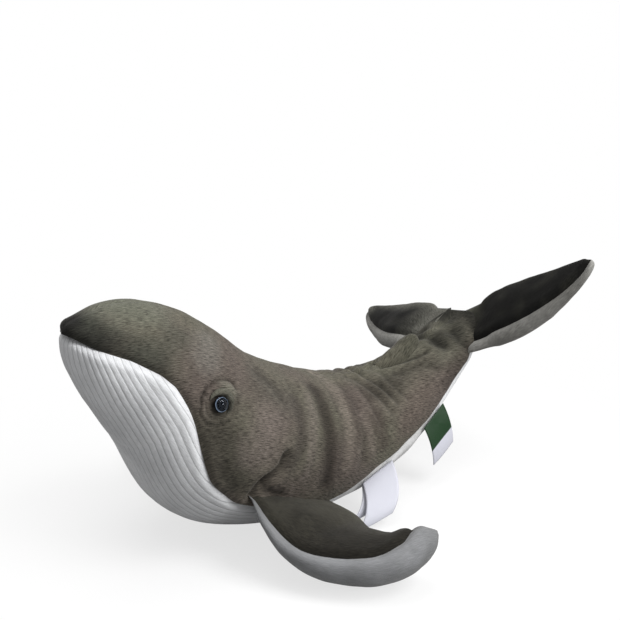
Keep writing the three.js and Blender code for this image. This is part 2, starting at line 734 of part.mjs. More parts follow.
// Body panels and filling
const bellyStartShare = throatEndShare + seamGap / bodyLength;
const throatRows = [...bodyShares.filter((along) => along < throatEndShare), throatEndShare];
const bellyRows = [bellyStartShare, ...bodyShares.filter((along) => along > bellyStartShare)];
const sideRows = [...throatRows, ...bellyRows];
const backSeam = () => 0;
const leftSide = cut(panel(body, sideRows, sideColumns, [backSeam, seam], { tip: 'start' }), leftHole);
const rightPanel = panel(body, sideRows, sideColumns, [farSeam, () => 1], { tip: 'start' });
const rightSide = cut(rightPanel, moved(leftHole, mirror));
const throat = panel(body, throatRows, throatColumns, [seam, farSeam], { tip: 'start' });
const belly = panel(body, bellyRows, bellyColumns, [seam, farSeam]);
const stuffingEndShares = [0.05, 0.95]; // along the body
const stuffingRows = sideRows.filter((along) => (
  along > stuffingEndShares[0] && along < stuffingEndShares[1]
));
const stuffing = bagSolid(body, stuffingRows, stuffingColumns, fillingDepth);
addPiece('left_side_panel', leftSide, darkPlush);
addPiece('right_side_panel', rightSide, darkPlush);
addPiece('throat_panel', cut(throat, floor), whitePlush);
addPiece('belly_panel', cut(belly, floor), whitePlush);
addPiece('body_filling', cut(stuffing, leftPocket, moved(leftPocket, mirror)), filling);

// The origin lies on the floor under the middle of the whale's outline
const outline = new THREE.Box3();
for (const mesh of whale.children) {
  mesh.geometry.computeBoundingBox();
  outline.union(mesh.geometry.boundingBox);
}
const shift = outline.getCenter(new THREE.Vector3()).setZ(outline.min.z).negate();
for (const mesh of whale.children) {
  mesh.geometry.translate(shift.x, shift.y, shift.z);
}

export default whale;
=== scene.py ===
"""Plush humpback whale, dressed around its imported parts.

Metres, +Z up, snout toward -X, the whale's left side toward -Y. Every bag of cloth is a function
of a place along its spine and a turn round it, counted from the top, as in the frame's own solids.
"""
import json
import math
from functools import partial

import bmesh
import bpy
import numpy as np
from bpy.props import FloatProperty, FloatVectorProperty, PointerProperty
from mathutils import Matrix, Vector, noise
from mathutils.bvhtree import BVHTree
from mathutils.kdtree import KDTree


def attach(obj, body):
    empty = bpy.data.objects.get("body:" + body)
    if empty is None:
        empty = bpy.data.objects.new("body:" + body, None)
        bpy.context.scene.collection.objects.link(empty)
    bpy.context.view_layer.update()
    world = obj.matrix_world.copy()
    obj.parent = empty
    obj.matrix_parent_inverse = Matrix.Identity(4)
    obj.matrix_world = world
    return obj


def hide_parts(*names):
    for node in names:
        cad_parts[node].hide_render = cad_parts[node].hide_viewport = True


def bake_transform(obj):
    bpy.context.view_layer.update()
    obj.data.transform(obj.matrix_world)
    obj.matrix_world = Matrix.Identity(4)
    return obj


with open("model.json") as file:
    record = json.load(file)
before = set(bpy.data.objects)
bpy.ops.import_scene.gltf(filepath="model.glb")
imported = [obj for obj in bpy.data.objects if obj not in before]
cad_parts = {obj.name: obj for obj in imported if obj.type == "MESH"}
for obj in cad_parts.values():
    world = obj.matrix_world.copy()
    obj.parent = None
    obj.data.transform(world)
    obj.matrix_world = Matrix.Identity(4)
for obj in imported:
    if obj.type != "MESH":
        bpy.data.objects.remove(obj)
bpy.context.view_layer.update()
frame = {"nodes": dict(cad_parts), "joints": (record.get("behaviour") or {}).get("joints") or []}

bl_info = {
    "name": "Plush Humpback Whale",
    "version": (1, 0, 0),
    "blender": (4, 5, 0),
    "location": "View3D > Sidebar > Whale",
    "description": "Sews the plush skins, flippers, flukes, fin, eyes and labels of a stuffed whale",
    "category": "Add Mesh",
}

MM = 0.001
TURN = 2 * math.pi
NUDGE = 1e-3  # share of a spine or of a turn over which slopes are measured

# Rings of the body from snout to tail notch: place along, centre height, half width,
# half height above the centre, half height below it, and how far the ring leans and turns
# Shares of body length, body height, body width, body height, body height and the two tail angles
BODY_RING_SHARES = [
    [0, 0.933, 0, 0, 0, 0], [0.014, 0.918, 0.111, 0.072, 0.051, 0],
    [0.048, 0.872, 0.23, 0.159, 0.108, 0], [0.105, 0.795, 0.341, 0.231, 0.179, 0],
    [0.191, 0.672, 0.444, 0.272, 0.267, 0], [0.299, 0.472, 0.5, 0.292, 0.366, 0],
    [0.436, 0.338, 0.484, 0.287, 0.341, 0], [0.567, 0.277, 0.444, 0.256, 0.279, 0],
    [0.681, 0.277, 0.389, 0.221, 0.236, 0.05], [0.783, 0.333, 0.325, 0.169, 0.2, 0.25],
    [0.869, 0.415, 0.262, 0.128, 0.154, 0.6], [0.932, 0.497, 0.238, 0.092, 0.108, 0.9],
    [0.977, 0.579, 0.19, 0.049, 0.056, 1], [1, 0.641, 0.11, 0.0175, 0.0175, 1],
]
# Seam between the dark sides and the white underside: share along the body, share of a turn
UNDERSIDE_SEAM_SHARES = [
    [0, 0.235], [0.12, 0.237], [0.2, 0.222], [0.25, 0.222], [0.275, 0.231], [0.3, 0.254],
    [0.34, 0.294], [0.375, 0.327], [0.41, 0.345], [0.46, 0.35], [0.53, 0.372], [0.59, 0.31],
    [0.65, 0.307], [0.75, 0.32], [0.9, 0.31], [1, 0.25],
]
THROAT_END_SHARE = 0.5  # along the body, where the ribbed throat meets the plain belly

# Rings of a flipper: out from the root seam and back from it as shares of its length, height above
# the floor as a share of the root's, half chord, half thickness, how much root slant is left
FLIPPER_RING_SHARES = [
    [-0.1, -0.02, 1.017, 0.52, 0.085, 1], [0.02, 0, 0.958, 0.56, 0.12, 1],
    [0.19, 0.01, 0.741, 0.6, 0.35, 0.8], [0.38, 0.03, 0.494, 0.54, 0.48, 0.6],
    [0.55, 0.1, 0.494, 0.44, 0.5, 0.5], [0.68, 0.19, 0.612, 0.33, 0.46, 0.45],
    [0.74, 0.28, 0.8, 0.235, 0.39, 0.4], [0.77, 0.37, 0.968, 0.14, 0.25, 0.4],
    [0.785, 0.42, 1.066, 0.03, 0.05, 0.4],
]
FLIPPER_ROOT_SHARES = [[0.412, 0.32], [0.53, 0.366]]
FLIPPER_DARK_END_SHARE = 0.82
FLIPPER_SEAM_SHARES = [[0, 0.2], [0.3, 0.19], [0.6, 0.17], [0.74, 0.13], [FLIPPER_DARK_END_SHARE, 0.012]]

# Rings of a fluke drawn flat: out, back and up as shares of its length, half chord, half thickness
FLUKE_RING_SHARES = [
    [-0.16, -0.02, 0, 0.44, 0.15], [0.03, 0.03, 0, 0.48, 0.17], [0.15, 0.08, 0, 0.55, 0.38],
    [0.32, 0.13, 0, 0.55, 0.5], [0.49, 0.2, 0, 0.5, 0.49], [0.66, 0.28, 0.01, 0.41, 0.44],
    [0.81, 0.36, 0.03, 0.28, 0.36], [0.9, 0.42, 0.05, 0.14, 0.26], [0.925, 0.44, 0.06, 0.03, 0.08],
]
FLUKE_ROOT_SHARE = 0.91  # along the body
FLUKE_SEAM_SHARES = [-0.25, 0.1]  # round the fluke, trailing edge and leading edge
# Turn round the body, then degrees of lift, of sweep and of roll
FLUKES = [("left", 0.25, 10, 0, 0), ("right", 0.75, -20, 6, 20)]

# Rings of the back fin: place along it, half width, height above the back
FIN_RING_SHARES = [
    [0, 0.08, 0.15], [0.15, 0.25, 0.3], [0.4, 0.42, 0.6], [0.65, 0.5, 0.88], [0.85, 0.42, 1],
    [0.96, 0.26, 0.8], [1, 0.12, 0.45],
]
FIN_START_SHARE = 0.69  # along the body
EYE_SHARES = (0.328, 0.212)  # along the body and round it

# Labels: front and rear end of the root along the body, and how each side edge falls from the
# front root, from the rear root, and bows between, as shares of the label's length
FIBRE_ROOT_SHARES = (0.685, 0.735)
LEAF_ROOT_SHARES = (0.568, 0.617)
FIBRE_FALL_SHARES = [(0.2, -0.14, -0.93), (0.18, -0.2, -0.93), (0, -0.08, 0.03)]
CARE_FALL_SHARES = [(-0.42, -0.26, -0.42), (-0.4, -0.34, -0.46), (0.02, -0.1, 0)]
MOTIF_FALL_SHARES = [(-0.38, -0.38, -0.46), (-0.36, -0.47, -0.5), (0.02, -0.12, 0)]
SECOND_LEAF_SHARE = 0.005  # of a turn round the body, between the two leaves' roots


def linear(code):
    """Linear red, green and blue of an sRGB hex colour."""
    shares = [int(code[i:i + 2], 16) / 255 for i in (1, 3, 5)]
    return [c / 12.92 if c <= 0.04045 else ((c + 0.055) / 1.055) ** 2.4 for c in shares]


def length(name, description, default):
    return FloatProperty(name=name, description=description, default=default, unit="LENGTH")


def colour(name, description, code):
    return FloatVectorProperty(name=name, description=description, default=linear(code), subtype="COLOR")


class WhaleSizes(bpy.types.PropertyGroup):
    """Sizes of the whale, the same as the frame's"""
    body_length: length("Body length", "Snout tip to tail notch, along the floor", 0.351)
    body_height: length("Body height", "Floor to the top of the head", 0.195)
    body_width: length("Body width", "Across the chest", 0.126)
    flipper_length: length("Flipper length", "Root to tip along its middle line", 0.128)
    flipper_chord: length("Flipper chord", "Front to back at the root", 0.08)
    flipper_thickness: length("Flipper thickness", "At its fullest", 0.036)
    fluke_length: length("Fluke length", "Root seam to tip", 0.112)
    fluke_chord: length("Fluke chord", "Front to back at its widest", 0.046)
    fluke_thickness: length("Fluke thickness", "At its fullest", 0.019)
    fin_length: length("Fin length", "Along the back", 0.046)
    fin_height: length("Fin height", "Above the back", 0.015)
    fin_width: length("Fin width", "Across its base", 0.022)
    rib_spacing: length("Rib spacing", "Between two ribs of the throat plush", 0.0056)
    eye_radius: length("Eye radius", "Of the clear dome", 0.0055)


class WhaleColours(bpy.types.PropertyGroup):
    """Colours of the whale's cloths"""
    back: colour("Back", "Olive grey plush of the back and flanks", "#5b584d")
    flank: colour("Flank", "Warmer tone that mottles the flanks", "#5a524c")
    flipper: colour("Flipper", "Dark top of the flippers", "#1f1d19")
    fluke: colour("Fluke", "Nearly black top of the flukes", "#0d0d0c")
    white: colour("White", "White plush and ribbed plush", "#e6e7e9")
    label_green: colour("Label green", "Satin of the tail label", "#062e0c")
    satin: colour("Satin", "White satin of the labels", "#cfd0da")


TAIL_LEAN = math.radians(18)
TAIL_TURN = math.radians(32)
SNOUT_SHARE = 0.36  # of the body length, how far the snout lies ahead of the bags' own origin
FIN_SINK = 5 * MM  # depth of the fin's middle line in the body


def smooth_rows(rows, share):
    """Values of a table at shares of its length, smooth through every row."""
    table = np.array(rows, float)
    last = len(table) - 1
    place = np.clip(share, 0, 1) * last
    k = np.minimum(place.astype(int), last - 1)
    t = (place - k)[:, None]
    a, b, c, d = (table[np.clip(k + step, 0, last)] for step in (-1, 0, 1, 2))
    leave = (c - a) / 2
    arrive = (d - b) / 2
    return b + t * (leave + t * (3 * (c - b) - 2 * leave - arrive + t * (2 * (b - c) + leave + arrive)))


def line_at(points, share):
    return np.interp(share, [p[0] for p in points], [p[1] for p in points])


def unit(vectors):
    return vectors / np.maximum(np.linalg.norm(vectors, axis=-1, keepdims=True), 1e-12)


def turned(vectors, axis, angle):
    """Vectors turned about unit axes by angles, one of each for every vector."""
    c = np.cos(angle)[..., None]
    s = np.sin(angle)[..., None]
    along = (vectors * axis).sum(-1, keepdims=True)
    return vectors * c + np.cross(axis, vectors) * s + axis * along * (1 - c)


def repeated(vector, count):
    return np.tile(np.array(vector, float), (count, 1))


def spine_slope(spine, share):
    return unit(spine(np.minimum(share + NUDGE, 1)) - spine(np.maximum(share - NUDGE, 0)))


class Bag:
    """A bag of cloth. Its rings give, at shares of its spine, the centre, tangent, side (a quarter
    turn round), up (no turn) and the half sizes width, above and below."""

    def __init__(self, rings):
        self.rings = rings

    def points(self, along, round_, depth=0.0):
        """Points at a depth under the surface, and the normals there."""
        point = self.bare(along, round_)
        ahead = self.bare(np.minimum(along + NUDGE, 1), round_)
        behind = self.bare(np.maximum(along - NUDGE, NUDGE), round_)
        crosswise = self.bare(along, round_ + NUDGE) - self.bare(along, round_ - NUDGE)
        normal = unit(np.cross(crosswise, ahead - behind))
        outward = point - self.rings(along)[0]
        normal *= np.where((normal * outward).sum(-1) < 0, -1, 1)[:, None]
        return point - normal * np.reshape(depth, (-1, 1)), normal

    def bare(self, along, round_):
        centre, _, side, up, width, above, below = self.rings(along)
        rise = np.cos(round_ * TURN)
        half = np.where(rise > 0, above, below)
        across = np.sin(round_ * TURN) * width
        return centre + across[:, None] * side + (rise * half)[:, None] * up


def one_point(bag, along, round_, depth=0.0):
    point, normal = bag.points(np.array([along]), np.array([round_]), depth)
    return point[0], normal[0]


def body_bag(sizes, shift=0.0):
    """The body, moved along X by a shift."""
    def spine(share):
        rows = smooth_rows(BODY_RING_SHARES, share)
        x = (rows[:, 0] - SNOUT_SHARE) * sizes.body_length + shift
        return np.stack([x, np.zeros(len(x)), rows[:, 1] * sizes.body_height], 1)

    def rings(share):
        _, _, width, above, below, lean = smooth_rows(BODY_RING_SHARES, share).T
        vertical = repeated((0, 0, 1), len(share))
        tangent = turned(spine_slope(spine, share), vertical, lean * TAIL_TURN)
        level = turned(repeated((0, -1, 0), len(share)), vertical, lean * TAIL_TURN)
        upright = unit(np.cross(level, tangent))
        side = turned(level, tangent, -lean * TAIL_LEAN)
        up = turned(upright, tangent, -lean * TAIL_LEAN)
        height = sizes.body_height
        return spine(share), tangent, side, up, width * sizes.body_width, above * height, below * height

    return Bag(rings)


def flipper_root(body):
    front, rear = (one_point(body, *place)[0] for place in FLIPPER_ROOT_SHARES)
    return (front + rear) / 2, unit(rear - front)


def frame_shift(sizes):
    """How far the frame's origin lies behind the bags' own, from the left flipper's hinge."""
    hinge = next(joint for joint in frame["joints"] if joint["name"] == "left_flipper_hinge")
    middle, _ = flipper_root(body_bag(sizes))
    return hinge["pos_m"][0] - middle[0]


def whale_body(sizes):
    return body_bag(sizes, frame_shift(sizes))


def flipper_bag(sizes):
    """The left flipper."""
    middle, axis = flipper_root(whale_body(sizes))

    def spine(share):
        out, back, height = smooth_rows(FLIPPER_RING_SHARES, share).T[:3]
        x = middle[0] + back * sizes.flipper_length
        y = middle[1] - out * sizes.flipper_length
        return np.stack([x, y, height * middle[2]], 1)

    def rings(share):
        _, _, _, chord, thickness, slant = smooth_rows(FLIPPER_RING_SHARES, share).T
        tangent = spine_slope(spine, share)
        root_up = unit(-np.cross(repeated(axis, len(share)), tangent))
        vertical = repeated((0, 0, 1), len(share))
        upright = vertical + (root_up - vertical) * slant[:, None]
        side = unit(np.cross(tangent, upright))
        half = thickness * sizes.flipper_thickness
        return spine(share), tangent, side, np.cross(side, tangent), chord * sizes.flipper_chord, half, half

    return Bag(rings)


def fluke_place(sizes, round_, lift, sweep, roll):
    """Origin and axes (out, back, normal) of a fluke on the tail. Its turns are in degrees."""
    body = whale_body(sizes)
    _, tangent, side, up, _, _, _ = (value[0] for value in body.rings(np.array([FLUKE_ROOT_SHARE])))
    hand = 1 if round_ < 0.5 else -1
    axes = np.array([side * hand, tangent, up])
    for axis, angle in ((-hand * tangent, lift), (2, sweep), (0, roll)):
        about = axes[axis] if isinstance(axis, int) else axis
        axes = turned(axes, np.tile(about, (3, 1)), np.full(3, math.radians(angle)))
    return one_point(body, FLUKE_ROOT_SHARE, round_)[0], axes


def fluke_bag(sizes, round_, *turns):
    origin, axes = fluke_place(sizes, round_, *turns)

    def flat(share):
        return smooth_rows(FLUKE_RING_SHARES, share)[:, :3] * sizes.fluke_length

    def rings(share):
        _, _, _, chord, thickness = smooth_rows(FLUKE_RING_SHARES, share).T
        tangent = spine_slope(flat, share)
        side = unit(np.cross(tangent, repeated((0, 0, 1), len(share))))
        up = np.cross(side, tangent)
        half = thickness * sizes.fluke_thickness
        centre = origin + flat(share) @ axes
        return centre, tangent @ axes, side @ axes, up @ axes, chord * sizes.fluke_chord, half, half

    return Bag(rings)


def fin_bag(sizes):
    body = whale_body(sizes)
    start, _ = one_point(body, FIN_START_SHARE, 0.0)
    ahead, _ = one_point(body, FIN_START_SHARE + NUDGE, 0.0)
    rear = unit(ahead - start)
    sink = body.rings(np.array([FIN_START_SHARE]))[3][0] * FIN_SINK

    def spine(share):
        place = smooth_rows(FIN_RING_SHARES, share)[:, :1]
        return start + rear * sizes.fin_length * place - sink

    def rings(share):
        _, width, height = smooth_rows(FIN_RING_SHARES, share).T
        tangent = spine_slope(spine, share)
        side = repeated((0, -1, 0), len(share))
        above = height * sizes.fin_height + FIN_SINK
        below = repeated([FIN_SINK], len(share))[:, 0]
        up = np.cross(side, tangent)
        return spine(share), tangent, side, up, width * sizes.fin_width, above, below

    return Bag(rings)


def spine_lengths(bag, count):
    """Shares of a bag's spine, and the metres along it at each."""
    share = np.linspace(0, 1, count)
    steps = np.linalg.norm(np.diff(bag.rings(share)[0], axis=0), axis=1)
    return share, np.concatenate([[0], np.cumsum(steps)])


def even_shares(bag, count, evenness):
    """Shares of a bag's spine, drawn toward equal steps along its line."""
    share, line = spine_lengths(bag, 400)
    place = line / line[-1] * evenness + share * (1 - evenness)
    return np.interp(np.linspace(0, 1, count + 1), place, share)


def mean_radius(bag, along):
    *_, width, above, below = bag.rings(along)
    return np.sqrt((width ** 2 + ((above + below) / 2) ** 2) / 2)


def cloth_coordinates(bag, along, round_, start=0.0):
    """Metres round the bag from a turn, and metres along its spine, for each point."""
    share, line = spine_lengths(bag, 300)
    across = (round_ - start) * TURN * mean_radius(bag, along)
    return np.stack([across, np.interp(along, share, line)], 1)


def grid_faces(rows, columns, wrap=False):
    """Faces of a grid of points, rows first. A wrapped grid closes on itself round the bag."""
    wide = columns if wrap else columns + 1
    row, k = np.meshgrid(np.arange(rows), np.arange(columns), indexing="ij")
    after = (k + 1) % wide
    corners = (row * wide + k, row * wide + after, (row + 1) * wide + after, (row + 1) * wide + k)
    return np.stack(corners, -1).reshape(-1, 4)


def tube_grid(along, columns):
    """Shares and turns of the points of a closed grid on a bag, row by row."""
    return np.repeat(along, columns), np.tile(np.arange(columns) / columns, len(along))


def bag_tree(bag):
    """A search tree of a bag's surface, with the bag's centres."""
    rows, columns = 120, 96
    points = bag.bare(*tube_grid(np.linspace(0, 1, rows), columns))
    faces = grid_faces(rows - 1, columns, wrap=True)
    centres = bag.rings(np.linspace(0, 1, 200))[0]
    return BVHTree.FromPolygons(points.tolist(), faces.tolist()), centres


def outside(tree_and_centres, points):
    """Distances of points from a bag's surface, negative inside it."""
    tree, centres = tree_and_centres
    found = np.empty(len(points))
    for i, point in enumerate(points):
        near, _, _, distance = tree.find_nearest(Vector(point))
        near = np.array(near)
        centre = centres[((centres - near) ** 2).sum(1).argmin()]
        found[i] = -distance if np.dot(point - near, near - centre) < 0 else distance
    return found


def distance_to(points, line, reach=1.0, step=0.7 * MM):
    """Distances of points to a line through others, as far as a reach."""
    line = np.array(line, float)
    parts = []
    for a, b in zip(line[:-1], line[1:]):
        count = max(int(np.linalg.norm(b - a) / step), 1)
        parts.append(a + (b - a) * np.arange(count)[:, None] / count)
    dense = np.concatenate([*parts, line[-1:]])
    tree = KDTree(len(dense))
    for i, point in enumerate(dense):
        tree.insert(point, i)
    tree.balance()
    low, high = dense.min(0) - reach, dense.max(0) + reach
    near = ((points > low) & (points < high)).all(1)
    distances = np.full(len(points), reach)
    distances[near] = [min(tree.find(point)[2], reach) for point in points[near]]
    return distances


def bell(distance, width):
    return np.exp(-(distance / width) ** 2)


def surface_noise(points, size, seed=0.0):
    """Smooth noise from -1 to 1 with lumps of a size."""
    return np.array([noise.noise(Vector(p) / size + Vector((seed, seed, seed))) for p in points])


def relief(points, *layers):
    """Smooth bumps and hollows. Each layer is a height and a size in millimetres, and a seed."""
    return sum(height * MM * surface_noise(points, size * MM, seed) for height, size, seed in layers)


def on_floor(points):
    """The soft underside presses flat on the floor."""
    points[:, 2] = np.maximum(points[:, 2], 0.0)
    return points


def new_piece(name, points, faces, cloth=None, tones=None, places=None):
    """A mesh object with its cloth coordinates in metres, its tones and its places as shares."""
    mesh = bpy.data.meshes.new(name)
    mesh.from_pydata(points.tolist(), [], [tuple(f) for f in faces])
    loops = np.empty(len(mesh.loops), int)
    mesh.loops.foreach_get("vertex_index", loops)
    for layer, values in (("cloth", cloth), ("places", places)):
        if values is not None:
            uv = mesh.uv_layers.new(name=layer)
            uv.data.foreach_set("uv", np.array(values, np.float32)[loops].ravel())
    if tones is not None:
        layer = mesh.color_attributes.new("tone", "FLOAT_COLOR", "POINT")
        layer.data.foreach_set("color", np.concatenate([tones, np.ones((len(tones), 1))], 1).ravel())
    work = bmesh.new()
    work.from_mesh(mesh)
    bmesh.ops.remove_doubles(work, verts=work.verts, dist=0.01 * MM)
    bmesh.ops.dissolve_degenerate(work, edges=work.edges, dist=0.005 * MM)
    loose = [v for v in work.verts if not v.link_faces]
    bmesh.ops.delete(work, geom=loose, context="VERTS")
    work.to_mesh(mesh)
    work.free()
    mesh.polygons.foreach_set("use_smooth", np.ones(len(mesh.polygons), bool))
    piece = bpy.data.objects.new(name, mesh)
    bpy.context.scene.collection.objects.link(piece)
    return piece


def face_out(piece, bag):
    """Turns the faces of a panel outward from its bag's spine, judged by all of them together."""
    spine = bag.rings(np.linspace(0, 1, 60))[0]
    mesh = piece.data
    places, normals = np.empty((2, len(mesh.polygons), 3), np.float32)
    mesh.polygons.foreach_get("center", places.ravel())
    mesh.polygons.foreach_get("normal", normals.ravel())
    near = ((places[:, None] - spine) ** 2).sum(-1).argmin(1)
    if ((places - spine[near]) * normals).sum() < 0:
        mesh.flip_normals()
    return piece


def close_faces(piece):
    """Cuts the end faces of a closed piece into triangles, and turns all its faces outward."""
    work = bmesh.new()
    work.from_mesh(piece.data)
    bmesh.ops.triangulate(work, faces=[f for f in work.faces if len(f.verts) > 4])
    bmesh.ops.recalc_face_normals(work, faces=work.faces)
    work.to_mesh(piece.data)
    work.free()
    return piece


def mirrored(piece, name):
    """A copy on the other side of the whale."""
    mesh = piece.data.copy()
    mesh.transform(Matrix.Diagonal((1, -1, 1, 1)))
    mesh.flip_normals()
    copy = bpy.data.objects.new(name, mesh)
    bpy.context.scene.collection.objects.link(copy)
    return copy


BURIED_DEPTH = 3 * MM  # faces of a closed skin deeper in another bag than this are left off


def tube_skin(name, bag, rows, columns, lumps, hide_in=None):
    """A closed skin round a bag, with its lumps. Faces deep in another bag are left off."""
    alongs, turns = tube_grid(np.linspace(0, 1, rows + 1), columns)
    points, normals = bag.points(alongs, turns)
    points += normals * relief(points, lumps)[:, None]
    faces = grid_faces(rows, columns, wrap=True)
    if hide_in:
        faces = faces[(outside(hide_in, points)[faces] > -BURIED_DEPTH).any(1)]
    return face_out(new_piece(name, points, faces, cloth_coordinates(bag, alongs, turns)), bag)


def dress(piece, material, slot, node, body=None):
    """Gives a piece its material, hides the imported node that it stands for, and parents it to
    the body that it rides on, if any. Its slot is not used."""
    piece.data.materials.clear()
    piece.data.materials.append(material)
    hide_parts(node)
    if body:
        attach(piece, body)
    return piece


def seam_lift(distance, depth=2.2 * MM, width=2.4 * MM):
    """A sewn seam: a narrow valley with a soft shoulder on each side."""
    return -depth * bell(distance, width) + 0.25 * depth * bell(distance - 2.6 * width, 1.4 * width)


# Folds and creases of the body: points along it and round it, depth and width of the valley in
# millimetres, and how much of the depth rises again on the shoulders
FOLDS = [
    ([(0.43, 0.237), (0.43, 0.258), (0.422, 0.278), (0.415, 0.297), (0.415, 0.318)], 4.0, 4, 0.35),
    ([(0.418, 0.285), (0.424, 0.3), (0.445, 0.31)], 2.0, 4, 0.3),
    ([(0.372, 0.295), (0.383, 0.307), (0.397, 0.322)], 1.0, 5, 0.4),
    ([(0.44, 0.087), (0.443, 0.142), (0.448, 0.2), (0.44, 0.245)], 0.8, 7, 0.4),
    ([(0.49, 0.072), (0.49, 0.133), (0.495, 0.195), (0.5, 0.285)], 1.1, 8, 0.4),
    ([(0.525, 0.083), (0.522, 0.13), (0.52, 0.198), (0.52, 0.28)], 0.7, 5, 0.5),
    ([(0.565, 0.055), (0.568, 0.098), (0.568, 0.138), (0.565, 0.2), (0.56, 0.26)], 0.9, 5, 0.5),
    ([(0.6, 0.02), (0.602, 0.08), (0.604, 0.14), (0.606, 0.19)], 0.9, 3.4, 0.6),
    ([(0.615, 0.028), (0.624, 0.075), (0.634, 0.12), (0.638, 0.168)], 1.2, 3.2, 0.7),
    ([(0.65, 0.005), (0.652, 0.058), (0.657, 0.105), (0.66, 0.16)], 1.5, 3.2, 0.7),
    ([(0.685, 0.04), (0.678, 0.09), (0.676, 0.128), (0.68, 0.17)], 1.0, 3, 0.6),
    ([(0.698, 0.02), (0.723, 0.028), (0.748, 0.052), (0.768, 0.07), (0.787, 0.08)], 2.2, 2.8, 0.4),
    ([(0.7, 0.072), (0.753, 0.105), (0.765, 0.175)], 1.2, 4.5, 0.4),
    ([(0.84, 0.025), (0.823, 0.085), (0.823, 0.12)], 2.6, 4.5, 0.4),
    ([(0.878, 0.087), (0.85, 0.17), (0.845, 0.26)], 1.6, 4.5, 0.4),
    ([(0.37, 0.087), (0.405, 0.102), (0.417, 0.128)], 0.9, 6, 0.4),
]


def body_lines(body):
    """The body's seams: left, right, back, and between throat and belly."""
    share = np.linspace(0, 1, 200)
    seam = line_at(UNDERSIDE_SEAM_SHARES, share)
    start = line_at(UNDERSIDE_SEAM_SHARES, THROAT_END_SHARE)
    turns = np.linspace(start, 1 - start, 60)
    throat_end = body.bare(turns * 0 + THROAT_END_SHARE, turns)
    return body.bare(share, seam), body.bare(share, 1 - seam), body.bare(share, share * 0), throat_end


def away_from(body, places, points, reach):
    """Distances of points to a line on the body, and then to the same line on its other side."""
    along, round_ = np.array(places).T
    fine = np.linspace(0, 1, 20)
    steps = np.linspace(0, 1, len(along))
    for turns in (round_, 1 - round_):
        line = body.bare(np.interp(fine, steps, along), np.interp(fine, steps, turns))
        yield distance_to(points, line, reach)


def body_lift(body, points, looseness=1.0):
    """How far the cloth of the body stands above or below its bag."""
    left, right, back, throat_end = body_lines(body)
    lift = seam_lift(np.minimum(distance_to(points, left), distance_to(points, right)))
    lift += 0.2 * seam_lift(distance_to(points, back, 30 * MM))
    lift += 0.6 * seam_lift(distance_to(points, throat_end, 30 * MM))
    for places, depth, width, rise in FOLDS:
        for away in away_from(body, places, points, 6 * width * MM):
            lift -= depth * MM * bell(away, width * MM)
            lift += depth * MM * rise * bell(away - 1.9 * width * MM, width * MM)
    return lift + looseness * relief(points, (1.1, 34, 3.1), (0.5, 13, 7.7))


def eye_frame(body):
    """The left eye's point, outward normal, and the upward and rearward directions on the skin."""
    point, normal = one_point(body, *EYE_SHARES)
    up = body.rings(np.array([EYE_SHARES[0]]))[3][0]
    up = unit(up - normal * np.dot(up, normal))
    return point, normal, up, unit(np.cross(up, normal))


SOCKET_SHARES = (0.27, 0.39)  # along the body, where the cloth is creased round the eye
# Creases round the left eye: points rearward and upward of it, depth and width, all in millimetres
SOCKET_CREASES = [
    ([(-14, -6), (-15, 3), (-11.5, 12), (-6, 16), (0, 19.5), (6, 17)], 1.9, 1.4),
    ([(-12, -7), (-8, -14), (0, -15.8), (7.5, -12), (12.5, -5)], 1.4, 1.2),
    ([(-9.5, -5), (-5, -10), (1, -11), (7, -8)], 1.0, 1.1),
    ([(-15, -1), (-11, -2)], 0.9, 1.0),
    ([(-16, -9), (-12, -8)], 0.9, 1.0),
    ([(9, 8), (12.5, 2), (12, -3)], 0.7, 1.4),
    ([(8, 13), (13, 8), (15, 3)], 0.6, 1.3),
]
EYE_REACH = 34 * MM  # how far from the eye its socket and creases go


def near_eyes(body, points):
    """For each eye, which points lie near it, and how far rearward and upward of it they lie."""
    eye, _, up, rear = eye_frame(body)
    for side in (1, -1):
        away = points * [1, side, 1] - eye
        near = (np.abs(away) < EYE_REACH).all(1)
        yield near, np.stack([away[near] @ rear, away[near] @ up, np.zeros(near.sum())], 1)


def socket_creases(flat):
    """Distances to each crease round an eye, its depth and its width, in metres."""
    for places, depth, width in SOCKET_CREASES:
        line = [(x * MM, y * MM, 0) for x, y in places]
        yield distance_to(flat, line, 6 * width * MM), depth * MM, width * MM


def socket_lift(body, points):
    """The dished socket round each eye, its swollen upper rim and the creases round it."""
    lift = np.zeros(len(points))
    for near, flat in near_eyes(body, points):
        u, v, _ = flat.T
        ring = np.hypot(u, v)
        lift[near] += 0.9 * MM * bell(ring - 14 * MM, 4 * MM) - 1.5 * MM * bell(ring, 9 * MM)
        lift[near] += 2.4 * MM * bell(u - MM, 8 * MM) * bell(v - 13 * MM, 4.5 * MM)
        for away, depth, width in socket_creases(flat):
            lift[near] -= depth * bell(away, width)
    return lift


def rib_lift(sizes, across):
    """Ribs of the throat plush: round ridges with narrow valleys at a set spacing."""
    wave = np.abs(np.sin(math.pi * across / sizes.rib_spacing))
    return 0.48 * MM * (wave ** 0.3 - 0.84)


SEAM_ALLOWANCE = 3 * MM  # cloth turned in at the side edges of a panel


